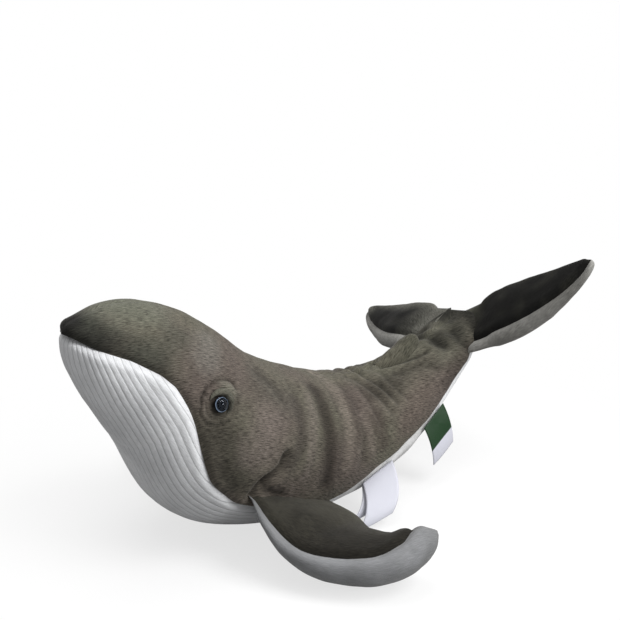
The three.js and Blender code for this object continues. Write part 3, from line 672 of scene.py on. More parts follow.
def sewn_grid(bag, along, rounds, lift, name, tones=None):
    """A panel on a bag: rows along it, turns for each row, with its side edges turned in. The nap
    of a toned panel runs level from snout to tail."""
    rounds = np.concatenate([rounds[:, :1], rounds, rounds[:, -1:]], 1)
    rows, columns = rounds.shape
    alongs = np.repeat(along, columns)
    turns = rounds.ravel()
    points, normals = bag.points(alongs, turns)
    height = lift(points, alongs, turns).reshape(rows, columns)
    height[:, [0, -1]] -= SEAM_ALLOWANCE
    paint = tones(points) if tones else None
    points = on_floor(points + normals * height.reshape(-1, 1))
    closing = alongs > 1 - 1e-6
    centre, _, side = bag.rings(alongs[closing])[:3]
    points[closing] = centre + 0.5 * side * ((points[closing] - centre) * side).sum(1, keepdims=True)
    cloth = cloth_coordinates(bag, alongs, turns, 0.5)
    if tones:
        cloth = np.stack([points[:, 2] - np.abs(points[:, 1]), points[:, 0]], 1)
    return face_out(new_piece(name, points, grid_faces(rows - 1, columns - 1), cloth, paint), bag)


def add_node(tree, kind, inputs=None, **settings):
    """Adds a node with its settings. An input is a value, or the node or output that feeds it."""
    node = tree.nodes.new(f"ShaderNode{kind}")
    for key, value in settings.items():
        setattr(node, key, value)
    for key, value in (inputs or {}).items():
        if isinstance(value, bpy.types.Node):
            value = next(output for output in value.outputs if output.enabled)
        if isinstance(value, bpy.types.NodeSocket):
            tree.links.new(value, node.inputs[key])
        else:
            node.inputs[key].default_value = value
    return node


FACTOR, FIRST, SECOND = 0, 6, 7  # places of the colour sockets on a mix node
BLENDED = {"data_type": "RGBA"}
MULTIPLIED = {"data_type": "RGBA", "blend_type": "MULTIPLY"}


def new_material(name):
    """An empty material, and the function that adds nodes to it."""
    material = bpy.data.materials.new(name)
    material.use_nodes = True
    material.node_tree.nodes.clear()
    return material, partial(add_node, material.node_tree)


def rgba(values):
    return (*values, 1.0)


def tint(code):
    return rgba(linear(code))


NAP_LEAN = math.radians(-18)  # how far the nap turns from the cloth's length
STREAK_WIDTH = 0.7 * MM
STREAK_LENGTH = 5 * MM
CLUMP = 7 * MM
DRIFT = 48 * MM  # lumps of the wavering colour
THREAD = 0.45 * MM  # of the satin


def plush(name, pair=None, sheen=0.3, ribs=None, contrast=1.0):
    """Short knitted pile, brushed one way. The eye sees fine streaks along the nap, clumps a few
    millimetres across, darker roots between the fibres, and a pale rim where the pile stands
    edge on. Its colour drifts between a pair, or is the tone that the cloth holds, which on the
    body carries painted shade and painted light besides the plush's own tones."""
    material, add = new_material(name)
    cloth = add("UVMap", uv_map="cloth")
    place = add("TexCoord").outputs["Object"]
    nap = add("VectorRotate", {"Vector": cloth, "Angle": NAP_LEAN}, rotation_type="Z_AXIS")
    streak = add("Mapping", {"Vector": nap, "Scale": (1 / STREAK_WIDTH, 1 / STREAK_LENGTH, 1)})
    fibres = add("TexNoise", {"Vector": streak, "Scale": 1.0, "Detail": 3.0, "Roughness": 0.7,
                              "Distortion": 0.2})
    clumps = add("TexNoise", {"Vector": place, "Scale": 1 / CLUMP, "Detail": 2.0, "Distortion": 0.8})
    if pair:
        drift = add("TexNoise", {"Vector": place, "Scale": 1 / DRIFT, "Detail": 3.0})
        drift = add("MapRange", {"Value": drift, "From Min": 0.4, "From Max": 0.62})
        shade = add("Mix", {FACTOR: drift, FIRST: rgba(pair[0]), SECOND: rgba(pair[1])}, **BLENDED)
    else:
        shade = add("Attribute", attribute_name="tone")
    height = add("Math", {0: clumps, 1: 0.1}, operation="MULTIPLY")
    height = add("Math", {0: fibres, 1: height}, operation="ADD")
    depth = add("MapRange", {"Value": height, "From Min": 0.35, "From Max": 0.8,
                             "To Min": 1 - 0.66 * contrast, "To Max": 1 + 0.76 * contrast})
    shade = add("Mix", {FACTOR: 1.0, FIRST: shade, SECOND: depth}, **MULTIPLIED)
    # Painted shade darkens the valleys between the ribs
    if ribs:
        turns = add("SeparateXYZ", {"Vector": cloth})
        turns = add("Math", {0: turns, 1: math.pi / ribs}, operation="MULTIPLY")
        wave = add("Math", {0: turns}, operation="SINE")
        ridge = add("Math", {0: wave}, operation="ABSOLUTE")
        valley = add("MapRange", {"Value": ridge, "From Max": 0.28, "To Min": 0.58})
        shade = add("Mix", {FACTOR: 1.0, FIRST: shade, SECOND: valley}, **MULTIPLIED)
    bump = add("Bump", {"Height": height, "Strength": 0.55, "Distance": 0.8 * MM})
    pile = add("BsdfPrincipled", {"Base Color": shade, "Normal": bump, "Roughness": 0.95,
                                  "Specular IOR Level": 0.15, "Sheen Weight": sheen,
                                  "Sheen Roughness": 0.45, "Sheen Tint": (0.6, 0.58, 0.55, 1)})
    add("OutputMaterial", {"Surface": pile})
    return material


def satin(name, upper, lower, split):
    """Woven satin ribbon. The eye sees a soft gloss across the threads and a fine twill. The upper
    colour ends at a split, a share of the fall."""
    material, add = new_material(name)
    fall = add("SeparateXYZ", {"Vector": add("UVMap", uv_map="places")})
    edge = add("MapRange", {"Value": fall, "From Min": split - 0.01, "From Max": split + 0.01})
    shade = add("Mix", {FACTOR: edge, FIRST: rgba(upper), SECOND: rgba(lower)}, **BLENDED)
    threads = add("TexWave", {"Vector": add("UVMap", uv_map="cloth"), "Scale": 0.5 / THREAD,
                              "Distortion": 0.6, "Detail": 1.0}, bands_direction="DIAGONAL")
    weave = add("MapRange", {"Value": threads.outputs["Fac"], "To Min": 0.9, "To Max": 1.04})
    shade = add("Mix", {FACTOR: 1.0, FIRST: shade, SECOND: weave}, **MULTIPLIED)
    bump = add("Bump", {"Height": threads.outputs["Fac"], "Strength": 0.25, "Distance": 0.1 * MM})
    ribbon = add("BsdfPrincipled", {"Base Color": shade, "Normal": bump, "Roughness": 0.42,
                                    "Specular IOR Level": 0.25, "Anisotropic": 0.4})
    add("OutputMaterial", {"Surface": ribbon})
    return material


def grained(name, codes, size, grain, bumps, finish):
    """A solid whose colour wavers between two over lumps of a size, which also stand out in it."""
    material, add = new_material(name)
    place = add("TexCoord").outputs["Object"]
    lumps = add("TexNoise", {"Vector": place, "Scale": 1 / size, **grain})
    shade = add("Mix", {FACTOR: lumps, FIRST: tint(codes[0]), SECOND: tint(codes[1])}, **BLENDED)
    bump = add("Bump", {"Height": lumps, "Strength": bumps[0], "Distance": bumps[1]})
    solid = add("BsdfPrincipled", {"Base Color": shade, "Normal": bump, **finish})
    add("OutputMaterial", {"Surface": solid})
    return material


def fibre_fill():
    """Siliconised polyester fibre, carded into white tufts. Matt, with soft lumps."""
    return grained("polyester_fibre_fill", ("#d9d8d3", "#fafaf7"), 6 * MM,
                   {"Detail": 5.0, "Distortion": 1.5}, (0.8, 2 * MM),
                   {"Roughness": 0.9, "Sheen Weight": 0.3})


def moulded_nylon():
    """Natural nylon 6, injection moulded, slightly milky with a fine satin grain."""
    return grained("moulded_natural_nylon", ("#d3d1c8", "#e6e4dc"), 0.6 * MM, {"Detail": 2.0},
                   (0.2, 0.05 * MM), {"Roughness": 0.45, "Subsurface Weight": 0.1})


def acrylic_dome():
    """Clear moulded acrylic, polished. It gives the eye its depth and its sharp highlights."""
    material, add = new_material("clear_acrylic_dome")
    place = add("TexCoord").outputs["Object"]
    haze = add("TexNoise", {"Vector": place, "Scale": 1 / (2 * MM), "Detail": 2.0})
    gloss = add("MapRange", {"Value": haze, "To Min": 0.0, "To Max": 0.02})
    dome = add("BsdfPrincipled", {"Base Color": tint("#f4f8fa"), "Roughness": gloss, "IOR": 1.49,
                                  "Transmission Weight": 1.0, "Specular Tint": tint("#8f959f")})
    add("OutputMaterial", {"Surface": dome})
    return material


def painted_disc(radius):
    """ABS disc, moulded and spray painted: a dark pupil, a thin grey blue iris and a black rim."""
    material, add = new_material("painted_abs_eye_disc")
    cloth = add("UVMap", uv_map="cloth")
    out = add("SeparateXYZ", {"Vector": cloth})
    iris = add("MapRange", {"Value": out, "From Min": 0.7 * radius, "From Max": 0.78 * radius})
    rim = add("MapRange", {"Value": out, "From Min": 0.86 * radius, "From Max": 0.9 * radius})
    spokes = add("TexNoise", {"Vector": cloth, "Scale": 1 / (0.4 * MM), "Detail": 2.0})
    ring = add("Mix", {FACTOR: spokes, FIRST: tint("#4f5f76"), SECOND: tint("#8d9bae")}, **BLENDED)
    shade = add("Mix", {FACTOR: iris, FIRST: tint("#04070d"), SECOND: ring}, **BLENDED)
    shade = add("Mix", {FACTOR: rim, FIRST: shade, SECOND: tint("#0c0d10")}, **BLENDED)
    paint = add("BsdfPrincipled", {"Base Color": shade, "Roughness": 0.5, "Specular IOR Level": 0.02})
    add("OutputMaterial", {"Surface": paint})
    return material


# Patches of own tone and of painted shade and painted light: places along the body and round it, radius in
# mm, colour, strength
TONE_AND_SHADE_PATCHES = [
    ([(0.7, 0.03), (0.8, 0.04), (0.9, 0.06)], 22, "#5f5f52", 0.6),
    ([(0.78, 0.12), (0.9, 0.16)], 15, "#5c5a50", 0.5),
    ([(0.01, 0.1), (0.06, 0.12), (0.1, 0.2)], 20, "#0f0f0e", 0.95),
    ([(0.08, 0.2), (0.18, 0.2), (0.24, 0.2)], 11, "#2f2f2a", 0.75),
    ([(0.16, 0.04), (0.22, 0.05)], 22, "#66685c", 0.6),
    ([(0.26, 0.12), (0.245, 0.155), (0.21, 0.19)], 13, "#47473f", 0.6),
    ([(0.3, 0.1), (0.3, 0.14)], 15, "#6c6963", 0.6),
    ([(0.345, 0.262), (0.39, 0.295)], 20, "#38352f", 0.65),
    ([(0.395, 0.19), (0.395, 0.245)], 18, "#726963", 0.6),
    ([(0.37, 0.1), (0.42, 0.125)], 15, "#4d4943", 0.6),
    # Painted shade in the flank's fold valleys, alternating with painted light on the ridges between them
    ([(0.44, 0.12), (0.448, 0.2), (0.44, 0.25)], 7, "#48423e", 0.5),
    ([(0.467, 0.1), (0.463, 0.18), (0.465, 0.27)], 6, "#6d655f", 0.5),
    ([(0.49, 0.08), (0.493, 0.14), (0.497, 0.2), (0.503, 0.29)], 10, "#38322d", 0.75),
    ([(0.535, 0), (0.54, 0.06), (0.537, 0.12), (0.53, 0.2), (0.528, 0.26)], 7, "#756d64", 0.5),
    ([(0.553, 0.09), (0.555, 0.15), (0.552, 0.2)], 5, "#47403a", 0.6),
    ([(0.572, 0.14), (0.577, 0.2), (0.577, 0.25)], 5, "#6c635c", 0.5),
    ([(0.6, 0.16), (0.6, 0.24)], 8, "#453d38", 0.6),
    ([(0.57, 0.02), (0.66, 0.02)], 15, "#5b594d", 0.5),
    ([(0.63, 0.1), (0.69, 0.1)], 12, "#35322c", 0.65),
    ([(0.65, 0.24), (0.71, 0.2)], 15, "#5d534d", 0.6),
    ([(0.72, 0.1), (0.76, 0.12)], 12, "#4b473f", 0.5),
    ([(0.77, 0.27), (0.85, 0.28)], 12, "#3b3430", 0.6),
    ([(0.84, 0.06), (0.88, 0.1)], 13, "#292824", 0.75),
    ([(0.93, 0.24), (0.96, 0.2), (0.985, 0.14)], 12, "#181816", 0.85),
    ([(0.95, 0.03), (0.99, 0.05)], 14, "#242420", 0.7),
]
PAINTED_RIM_LIGHT = "#77766a"  # painted light on the swollen rim over each eye
PAINTED_CREASE_SHADE = 0.6  # how much painted shade darkens the cloth in a deep crease


def body_tones_and_shade(body, points, main, second):
    """Colours of the body's dark plush point by point: its drift, its patches of own tone and of
    painted shade and painted light, painted shade along its creases, and painted light and shade round each
    eye."""
    drift = np.clip(0.5 + 1.2 * surface_noise(points, 42 * MM, 9.2), 0, 1)[:, None]
    tones = np.array(main) + np.subtract(second, main) * drift
    wander = relief(points, (4, 15, 4.6), (1.5, 5, 2.2))
    for places, radius, code, strength in TONE_AND_SHADE_PATCHES:
        radius *= MM
        for away in away_from(body, places, points, 2 * radius):
            near = np.clip((1.3 * radius - away - wander * (radius / (16 * MM))) / (1.1 * radius), 0, 1)
            tones += (linear(code) - tones) * (strength * near ** 2 * (3 - 2 * near))[:, None]
    # Painted shade along the bottom of each fold
    for places, depth, width, _ in FOLDS:
        for away in away_from(body, places, points, 3 * width * MM):
            tones *= 1 - PAINTED_CREASE_SHADE * min(depth / 2, 1) * bell(away, 0.7 * width * MM)[:, None]
    for near, flat in near_eyes(body, points):
        u, v, _ = flat.T
        # Painted light on the swollen rim over the eye, painted shade in a ring round it, and painted shade
        # in the socket's creases
        rim = 0.7 * bell(u, 8 * MM) * bell(v - 12.5 * MM, 4 * MM)
        painted_pit_shade = 0.6 * bell(np.hypot(u, v) - 6.5 * MM, 2.5 * MM)
        shade = tones[near]
        shade += (linear(PAINTED_RIM_LIGHT) - shade) * rim[:, None]
        shade *= 1 - painted_pit_shade[:, None]
        for away, depth, width in socket_creases(flat):
            shade *= 1 - PAINTED_CREASE_SHADE * min(depth / (1.6 * MM), 1) * bell(away, 0.8 * width)[:, None]
        tones[near] = shade
    return tones


RIB_STEPS = 6  # grid lines for each rib
# Where the dark cloth swells over the snout, how high and how far round
SNOUT_TIP_SHARES = (0.01, 0.12)
SNOUT_SWELL, SNOUT_REACH = 2.2 * MM, 15 * MM
# The throat: how far its front end draws in and where that ends, and the tuck under the chin, with
# its depth, and its place and spread along the body and round it
CHIN_DEPTH, CHIN_END_SHARE = 4.2 * MM, 0.16
TUCK_DEPTH, TUCK_ALONG, TUCK_ROUND = 7 * MM, (0.344, 0.042), (0.5, 0.13)


def throat_turns(sizes, body, along):
    """Turns of the throat's grid lines, which run along the ribs and stop at the seams."""
    seam = line_at(UNDERSIDE_SEAM_SHARES, along)
    metres_per_turn = TURN * mean_radius(body, along)
    step = sizes.rib_spacing / RIB_STEPS
    count = int(((0.5 - seam) * metres_per_turn).max() / step) + 1
    lines = np.arange(-count, count + 1) * step
    turns = 0.5 + lines / np.maximum(metres_per_turn, 1e-6)[:, None]
    return np.clip(turns, seam[:, None], 1 - seam[:, None])


class WHALE_OT_body(bpy.types.Operator):
    """Sews the body: two dark sides, the ribbed throat and the plain belly"""
    bl_idname = "whale.body"
    bl_label = "Body"

    def execute(self, context):
        sizes = context.scene.whale_sizes
        colours = context.scene.whale_colours
        body = whale_body(sizes)
        dark = plush("brushed_olive_grey_plush", sheen=0.15, contrast=1.25)
        white = plush("brushed_white_plush", (colours.white, linear("#cbcbca")), contrast=0.3)
        ribbed = plush("ribbed_white_plush", (colours.white, linear("#d2d3d5")), contrast=0.2,
                       ribs=sizes.rib_spacing)
        along = np.union1d(even_shares(body, 210, 0.7), np.linspace(*SOCKET_SHARES, 60))
        along = along[np.append(True, np.diff(along) > 2e-4)]
        front = np.union1d(along[along < THROAT_END_SHARE], THROAT_END_SHARE)
        rear = np.union1d(along[along > THROAT_END_SHARE], THROAT_END_SHARE)
        whole = np.union1d(front, rear)
        tip = body.bare(*np.array(SNOUT_TIP_SHARES)[:, None])[0]

        def lift(points, alongs, turns):
            snout = SNOUT_SWELL * bell(np.linalg.norm(points - tip, axis=1), SNOUT_REACH)
            return body_lift(body, points) + socket_lift(body, points) + snout

        def throat_lift(points, alongs, turns):
            seam = line_at(UNDERSIDE_SEAM_SHARES, alongs)
            across, edge = (cloth_coordinates(body, alongs, place, 0.5)[:, 0] for place in (turns, seam))
            inside = np.clip((np.abs(edge) - np.abs(across)) / (2 * MM), 0, 1)
            end = np.clip((THROAT_END_SHARE - alongs) * sizes.body_length / (4 * MM), 0, 1)
            chin = CHIN_DEPTH * np.clip(1 - alongs / CHIN_END_SHARE, 0, 1)
            tuck = TUCK_DEPTH * bell(alongs - TUCK_ALONG[0], TUCK_ALONG[1])
            tuck *= bell(turns - TUCK_ROUND[0], TUCK_ROUND[1])
            return body_lift(body, points, 0.3) + rib_lift(sizes, across) * inside * end - chin - tuck

        def tones(points):
            return body_tones_and_shade(body, points, colours.back, colours.flank)

        seam = line_at(UNDERSIDE_SEAM_SHARES, whole)[:, None]
        rear_seam = line_at(UNDERSIDE_SEAM_SHARES, rear)[:, None]
        side = seam * np.linspace(0, 1, 80)
        under = rear_seam + (1 - 2 * rear_seam) * np.linspace(0, 1, 50)
        ribs = throat_turns(sizes, body, front)
        panels = [
            ("left_side", whole, side, lift, tones, dark, "dark_plush"),
            ("right_side", whole, 1 - side, lift, tones, dark, "dark_plush"),
            ("belly", rear, under, lift, None, white, "white_plush"),
            ("throat", front, ribs, throat_lift, None, ribbed, "ribbed_white_plush"),
        ]
        for name, rows, turns, height, paint, cloth, slot in panels:
            skin = sewn_grid(body, rows, turns, height, f"{name}_skin", paint)
            dress(skin, cloth, slot, f"{name}_panel", "whale_body")
        return {"FINISHED"}


TIP_ROUNDING = 0.4 * MM  # how far the gathered end of a limb stands out from its last ring
HIDDEN_DEPTH = 4 * MM  # faces of a limb deeper in the body than this are left off
SLIM_PLACE, SLIM_SPREAD = 0.68, 0.19  # along a limb, where it draws in before its tip
LIMB_SEAM_DEPTH, LIMB_SEAM_WIDTH = 1.9 * MM, 2.2 * MM


def limb_skins(bag, limb, seam, dark_end, counts, tones, hide_in, slimmer=0.0):
    """The dark upper and the white lower skin of a limb, on one grid of so many rows, dark columns
    and white columns. Its seam gives the turns of its rear and front edge, as far as the dark goes.
    The tones are a dark colour, a pale one, and how pale the top is along it and from back to
    front. A slimmer limb draws in before its tip."""
    rows, dark_columns, white_columns = counts
    wide = dark_columns + white_columns
    along = np.union1d(even_shares(bag, rows, 0.5), dark_end)
    rear, front = (turns[:, None] for turns in seam(np.minimum(along, dark_end)))
    over = rear + (front - rear) * np.arange(dark_columns) / dark_columns
    under = front + (1 + rear - front) * np.arange(white_columns) / white_columns
    turns = np.concatenate([over, under], 1).ravel()
    alongs = np.repeat(along, wide)
    column = np.arange(wide)
    is_dark = ((along[1:, None] <= dark_end + 1e-6) & (column < dark_columns)).ravel()
    share = np.linspace(0, dark_end, 120)
    rear, front = seam(share)
    edges = np.concatenate([bag.bare(share, front), bag.bare(share[::-1], rear[::-1])])
    points, normals = bag.points(alongs, turns)
    height = seam_lift(distance_to(points, edges), LIMB_SEAM_DEPTH, LIMB_SEAM_WIDTH)
    height += relief(points, (0.7, 22, 5.3), (0.35, 9, 2.9))
    height -= slimmer * bell(alongs - SLIM_PLACE, SLIM_SPREAD)
    dark, pale, paleness = tones
    across = np.tile(np.minimum(column / dark_columns, 1), len(along))
    share = paleness(alongs, across) + 0.15 * surface_noise(points, 12 * MM, 8.3)
    paint = np.array(dark) + np.subtract(pale, dark) * np.clip(share, 0, 1)[:, None]
    tip = np.clip((1 - alongs) / 0.12, 0, 1)
    points += normals * (height * tip)[:, None]
    points[-wide:] = points[-wide:].mean(0) + bag.rings(along[-1:])[1] * TIP_ROUNDING
    depth = outside(hide_in, points)
    on_floor(points)
    faces = grid_faces(len(along) - 1, wide, wrap=True)
    shown = (depth[faces] > -HIDDEN_DEPTH).any(1)
    cloth = cloth_coordinates(bag, alongs, turns)
    parts = (("upper", faces[is_dark & shown]), ("lower", faces[~is_dark & shown]))
    return [face_out(new_piece(f"{limb}_{part}_skin", points, chosen, cloth, paint), bag)
            for part, chosen in parts]


def dress_limb(skins, limb, cloths, slot, start):
    """Dresses the upper and lower skin of a limb, and bakes their places into their meshes."""
    for skin, part, cloth, name in zip(skins, ("upper", "lower"), cloths, (slot, "white_plush")):
        dress(skin, cloth, name, f"{limb}_{part}_panel")
        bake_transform(skin)
        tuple(start)


def flipper_seam(share):
    rear = -0.25 * np.sqrt(np.maximum(1 - (share / FLIPPER_DARK_END_SHARE) ** 6, 0.03))
    return rear, line_at(FLIPPER_SEAM_SHARES, share)


def fluke_seam(share):
    return [share * 0 + turn for turn in FLUKE_SEAM_SHARES]


def flipper_paleness(along, across):
    """The flippers' tops are paler at the root and along their rear edge."""
    return 0.75 * np.clip(1 - 1.4 * across, 0, 1) + 0.6 * np.clip(1 - along / 0.4, 0, 1)


def near_fluke_paleness(along, across):
    """The near fluke is paler at the back of its root and a little along its rear edge."""
    root = np.clip(1 - along / 0.22, 0, 1) * np.clip(1.4 - 1.6 * across, 0, 1)
    return 0.9 * root + 0.25 * np.clip(1 - across / 0.35, 0, 1)


def far_fluke_paleness(along, across):
    """The far fluke is paler at its root, its tip and along its rear edge."""
    ends = np.maximum(np.clip(1 - along / 0.35, 0, 1), np.clip((along - 0.72) / 0.15, 0, 1))
    return np.maximum(0.9 * ends, 1.2 * np.clip(1 - across / 0.6, 0, 1))


class WHALE_OT_flippers(bpy.types.Operator):
    """Sews the two flippers, dark above and white below"""
    bl_idname = "whale.flippers"
    bl_label = "Flippers"

    def execute(self, context):
        sizes = context.scene.whale_sizes
        colours = context.scene.whale_colours
        body = whale_body(sizes)
        dark = plush("brushed_dark_flipper_plush", sheen=0.15)
        # The white cloth under the flippers is coloured grey: painted shade
        white = plush("brushed_white_flipper_plush", (linear("#88898b"), linear("#767778")), contrast=0.3)
        tones = (colours.flipper, linear("#4b4940"), flipper_paleness)
        left = limb_skins(flipper_bag(sizes), "left_flipper", flipper_seam, FLIPPER_DARK_END_SHARE,
                          (84, 34, 44), tones, bag_tree(body))
        hinge, _ = flipper_root(body)
        over = [1, -1, 1]
        dress_limb(left, "left_flipper", (dark, white), "dark_plush", hinge)
        right = [mirrored(skin, skin.name.replace("left", "right")) for skin in left]
        dress_limb(right, "right_flipper", (dark, white), "dark_plush", hinge * over)
        return {"FINISHED"}


class WHALE_OT_flukes(bpy.types.Operator):
    """Sews the two flukes of the tail, nearly black above and white below"""
    bl_idname = "whale.flukes"
    bl_label = "Flukes"

    def execute(self, context):
        sizes = context.scene.whale_sizes
        black = context.scene.whale_colours.fluke
        dark = plush("brushed_black_fluke_plush", sheen=0.1)
        # The white cloth under the flukes is coloured grey: painted shade
        white = plush("brushed_white_fluke_plush", (linear("#8d8c88"), linear("#6d6c68")), contrast=0.6)
        hide_in = bag_tree(whale_body(sizes))
        pale = {"left": ("#56554b", near_fluke_paleness), "right": ("#73726a", far_fluke_paleness)}
        for side, *turns in FLUKES:
            code, paleness = pale[side]
            skins = limb_skins(fluke_bag(sizes, *turns), f"{side}_fluke", fluke_seam, 1, (70, 28, 28),
                               (black, linear(code), paleness), hide_in, 1.3 * MM)
            hinge, axes = fluke_place(sizes, *turns)
            dress_limb(skins, f"{side}_fluke", (dark, white), "black_plush", hinge)
        return {"FINISHED"}


class WHALE_OT_back_fin(bpy.types.Operator):
    """Sews the low fin on the back"""
    bl_idname = "whale.back_fin"
    bl_label = "Back fin"

    def execute(self, context):
        sizes = context.scene.whale_sizes
        hide_in = bag_tree(whale_body(sizes))
        skin = tube_skin("back_fin_skin", fin_bag(sizes), 33, 30, (0.8, 9, 1.7), hide_in)
        material = plush("brushed_fin_plush", (context.scene.whale_colours.back, linear("#47463c")))
        dress(skin, material, "dark_plush", "back_fin_cover", "whale_body")
        return {"FINISHED"}


def turned_piece(name, profile, point, normal, side, facets=48):
    """A turned piece on an axis: profile of radius and distance along the axis, in metres."""
    profile = np.array(profile)
    angle = np.arange(facets) / facets * TURN
    up = unit(np.cross(normal, [1.0, 0, 0]))
    ring = np.cos(angle)[:, None] * up + np.sin(angle)[:, None] * np.cross(normal, up)
    points = point + profile[:, None, :1] * ring + profile[:, None, 1:] * normal
    cloth = np.stack([np.repeat(profile[:, 0], facets), np.tile(angle, len(profile)) * MM], 1)
    faces = grid_faces(len(profile) - 1, facets, wrap=True)
    return close_faces(new_piece(name, points.reshape(-1, 3) * [1, side, 1], faces, cloth))


class WHALE_OT_eyes(bpy.types.Operator):
    """Sets the two safety eyes: clear domes on painted discs, held by nylon washers"""
    bl_idname = "whale.eyes"
    bl_label = "Eyes"

    def execute(self, context):
        sizes = context.scene.whale_sizes
        point, normal, _, _ = eye_frame(whale_body(sizes))
        radius = sizes.eye_radius
        bulge = 3.2 * MM
        disc_top = 1.4 * MM
        seat = 0.4 * MM
        stem, stem_end = 1.6 * MM, -9 * MM
        curve = (radius ** 2 + bulge ** 2) / (2 * bulge)
        slope = np.linspace(math.asin(radius / curve), 0, 14)
        dome = [(curve * math.sin(a), curve * math.cos(a) - curve + bulge + disc_top) for a in slope]
        glued = disc_top - 0.1 * MM
        face = radius - 0.5 * MM
        rim = radius - 0.2 * MM
        lens = [(0, glued), (rim, glued), *dome]
        disc = [(0, stem_end), (stem, stem_end), (stem, seat), (rim, seat), (radius, seat + 0.2 * MM),
                (radius, glued - 0.3 * MM), (face, glued - 0.1 * MM), (face, disc_top),
                (0.6 * radius, disc_top), (0, disc_top)]
        clear = acrylic_dome()
        painted = painted_disc(radius)
        nylon = moulded_nylon()
        for side, hand in (("left", 1), ("right", -1)):
            dome_piece = turned_piece(f"{side}_eye_dome", lens, point, normal, hand)
            disc_piece = turned_piece(f"{side}_eye_disc", disc, point, normal, hand)
            dress(dome_piece, clear, "clear_plastic", f"{side}_eye_lens", "whale_body")
            dress(disc_piece, painted, "dark_plastic", f"{side}_eye_back", "whale_body")
            washer = frame["nodes"][f"{side}_eye_washer"].data
            washer.materials.clear()
            washer.materials.append(nylon)
        return {"FINISHED"}


LID_SPAN = math.radians(105)  # either side of the top of the eye


def lid_bag(body, radius):
    """The padded fold round the upper side of the left eye."""
    point, normal, up, rear = eye_frame(body)
    lid = 2.6 * MM
    bend = radius + lid + 0.4 * MM

    def spine(share):
        angle = (2 * share - 1) * LID_SPAN
        return point + bend * (np.cos(angle)[:, None] * up + np.sin(angle)[:, None] * rear)

    def rings(share):
        swell = np.sin(math.pi * np.clip(share, 0.01, 0.99)) ** 0.75
        tangent = spine_slope(spine, share)
        outward = repeated(normal, len(share))
        side = unit(np.cross(tangent, outward))
        return spine(share), tangent, side, outward, lid * swell, lid * 1.4 * swell, lid * swell

    return Bag(rings)


class WHALE_OT_eyelids(bpy.types.Operator):
    """Sews the padded fold over each eye"""
    bl_idname = "whale.eyelids"
    bl_label = "Eyelids"

    def execute(self, context):
        sizes = context.scene.whale_sizes
        bag = lid_bag(whale_body(sizes), sizes.eye_radius)
        left = tube_skin("left_eyelid_fold", bag, 59, 24, (0.35, 4, 4.4))
        right = mirrored(left, "right_eyelid_fold")
        material = plush("brushed_eyelid_plush", (linear("#5f5e54"), linear("#4a4941")), sheen=0.1)
        for side, piece in (("left", left), ("right", right)):
            dress(piece, material, "dark_plush", f"{side}_eyelid", "whale_body")
        return {"FINISHED"}


SATIN_THICKNESS = 0.5 * MM
ROOT_HEIGHT = 1.2 * MM  # of a leaf's root edge over the body's bag


def leaf(name, body, root, falls, size, beside):
    """A satin leaf that hangs from the left seam, with its two faces and its cut edges, and its
    flat width and length."""
    front_fall, rear_fall, bow = (np.array(fall) for fall in falls)
    along = np.array(root)
    roots, _ = body.points(along, line_at(UNDERSIDE_SEAM_SHARES, along) + beside, -ROOT_HEIGHT)
    share = np.linspace(0, 1, 36)[:, None]
    sag = 4 * share * (1 - share)
    front = roots[0] + (share * front_fall + sag * bow) * size
    rear = roots[1] + (share * rear_fall + sag * bow) * size
    cross = np.linspace(0, 1, 19)
    grid = front[:, None] + (rear - front)[:, None] * cross[:, None]
    normal = unit(np.cross(np.gradient(grid, axis=1), np.gradient(grid, axis=0)))
    curl = 0.6 * MM * np.sin(math.pi * cross) * np.sin(1.5 * math.pi * share)
    middle = grid + normal * curl[..., None]
    long = float(np.linalg.norm(np.diff((front + rear) / 2, axis=0), axis=1).sum())
    cells = np.cross(grid[1:, :-1] - grid[:-1, :-1], grid[:-1, 1:] - grid[:-1, :-1])
    wide = float(np.linalg.norm(cells, axis=-1).sum()) / long
    faces = grid_faces(len(share) - 1, len(cross) - 1)
    number = np.arange(curl.size).reshape(curl.shape)
    outline = [*number[0, :-1], *number[:-1, -1], *number[-1, :0:-1], *number[:0:-1, 0]]
    rim = [(a, a + curl.size, b + curl.size, b) for a, b in zip(outline, outline[1:] + outline[:1])]
    half = normal * SATIN_THICKNESS / 2
    points = np.concatenate([(middle + half).reshape(-1, 3), (middle - half).reshape(-1, 3)])
    u, v = (values.ravel() for values in np.meshgrid(cross * wide, share[:, 0] * long))
    cloth = np.tile(np.stack([u, v], 1), (2, 1))
    places = np.tile(np.stack([v / long, u / wide], 1), (2, 1))
    all_faces = [*faces, *(faces[:, ::-1] + curl.size), *rim]
    return close_faces(new_piece(name, points, all_faces, cloth, places=places)), (wide, long)


class WHALE_OT_labels(bpy.types.Operator):
    """Hangs the satin labels from the seam of the underside"""
    bl_idname = "whale.labels"
    bl_label = "Labels"

    def execute(self, context):
        sizes = context.scene.whale_sizes
        colours = context.scene.whale_colours
        body = whale_body(sizes)
        two_tone = satin("green_and_white_satin_ribbon", colours.label_green, colours.satin, 0.62)
        white = satin("white_satin_ribbon", colours.satin, colours.satin, 0.5)
        leaves = [
            ("fibre_label", FIBRE_ROOT_SHARES, FIBRE_FALL_SHARES, 0.035, 0.0, two_tone, "green_satin"),
            ("care_label", LEAF_ROOT_SHARES, CARE_FALL_SHARES, 0.05, SECOND_LEAF_SHARE, white, "white_satin"),
            ("motif_label", LEAF_ROOT_SHARES, MOTIF_FALL_SHARES, 0.056, 0.0, white, "white_satin"),
        ]
        for node, root, falls, size, beside, material, slot in leaves:
            piece, flat = leaf(f"{node}_leaf", body, root, falls, size, beside)
            dress(piece, material, slot, node, node)
        return {"FINISHED"}


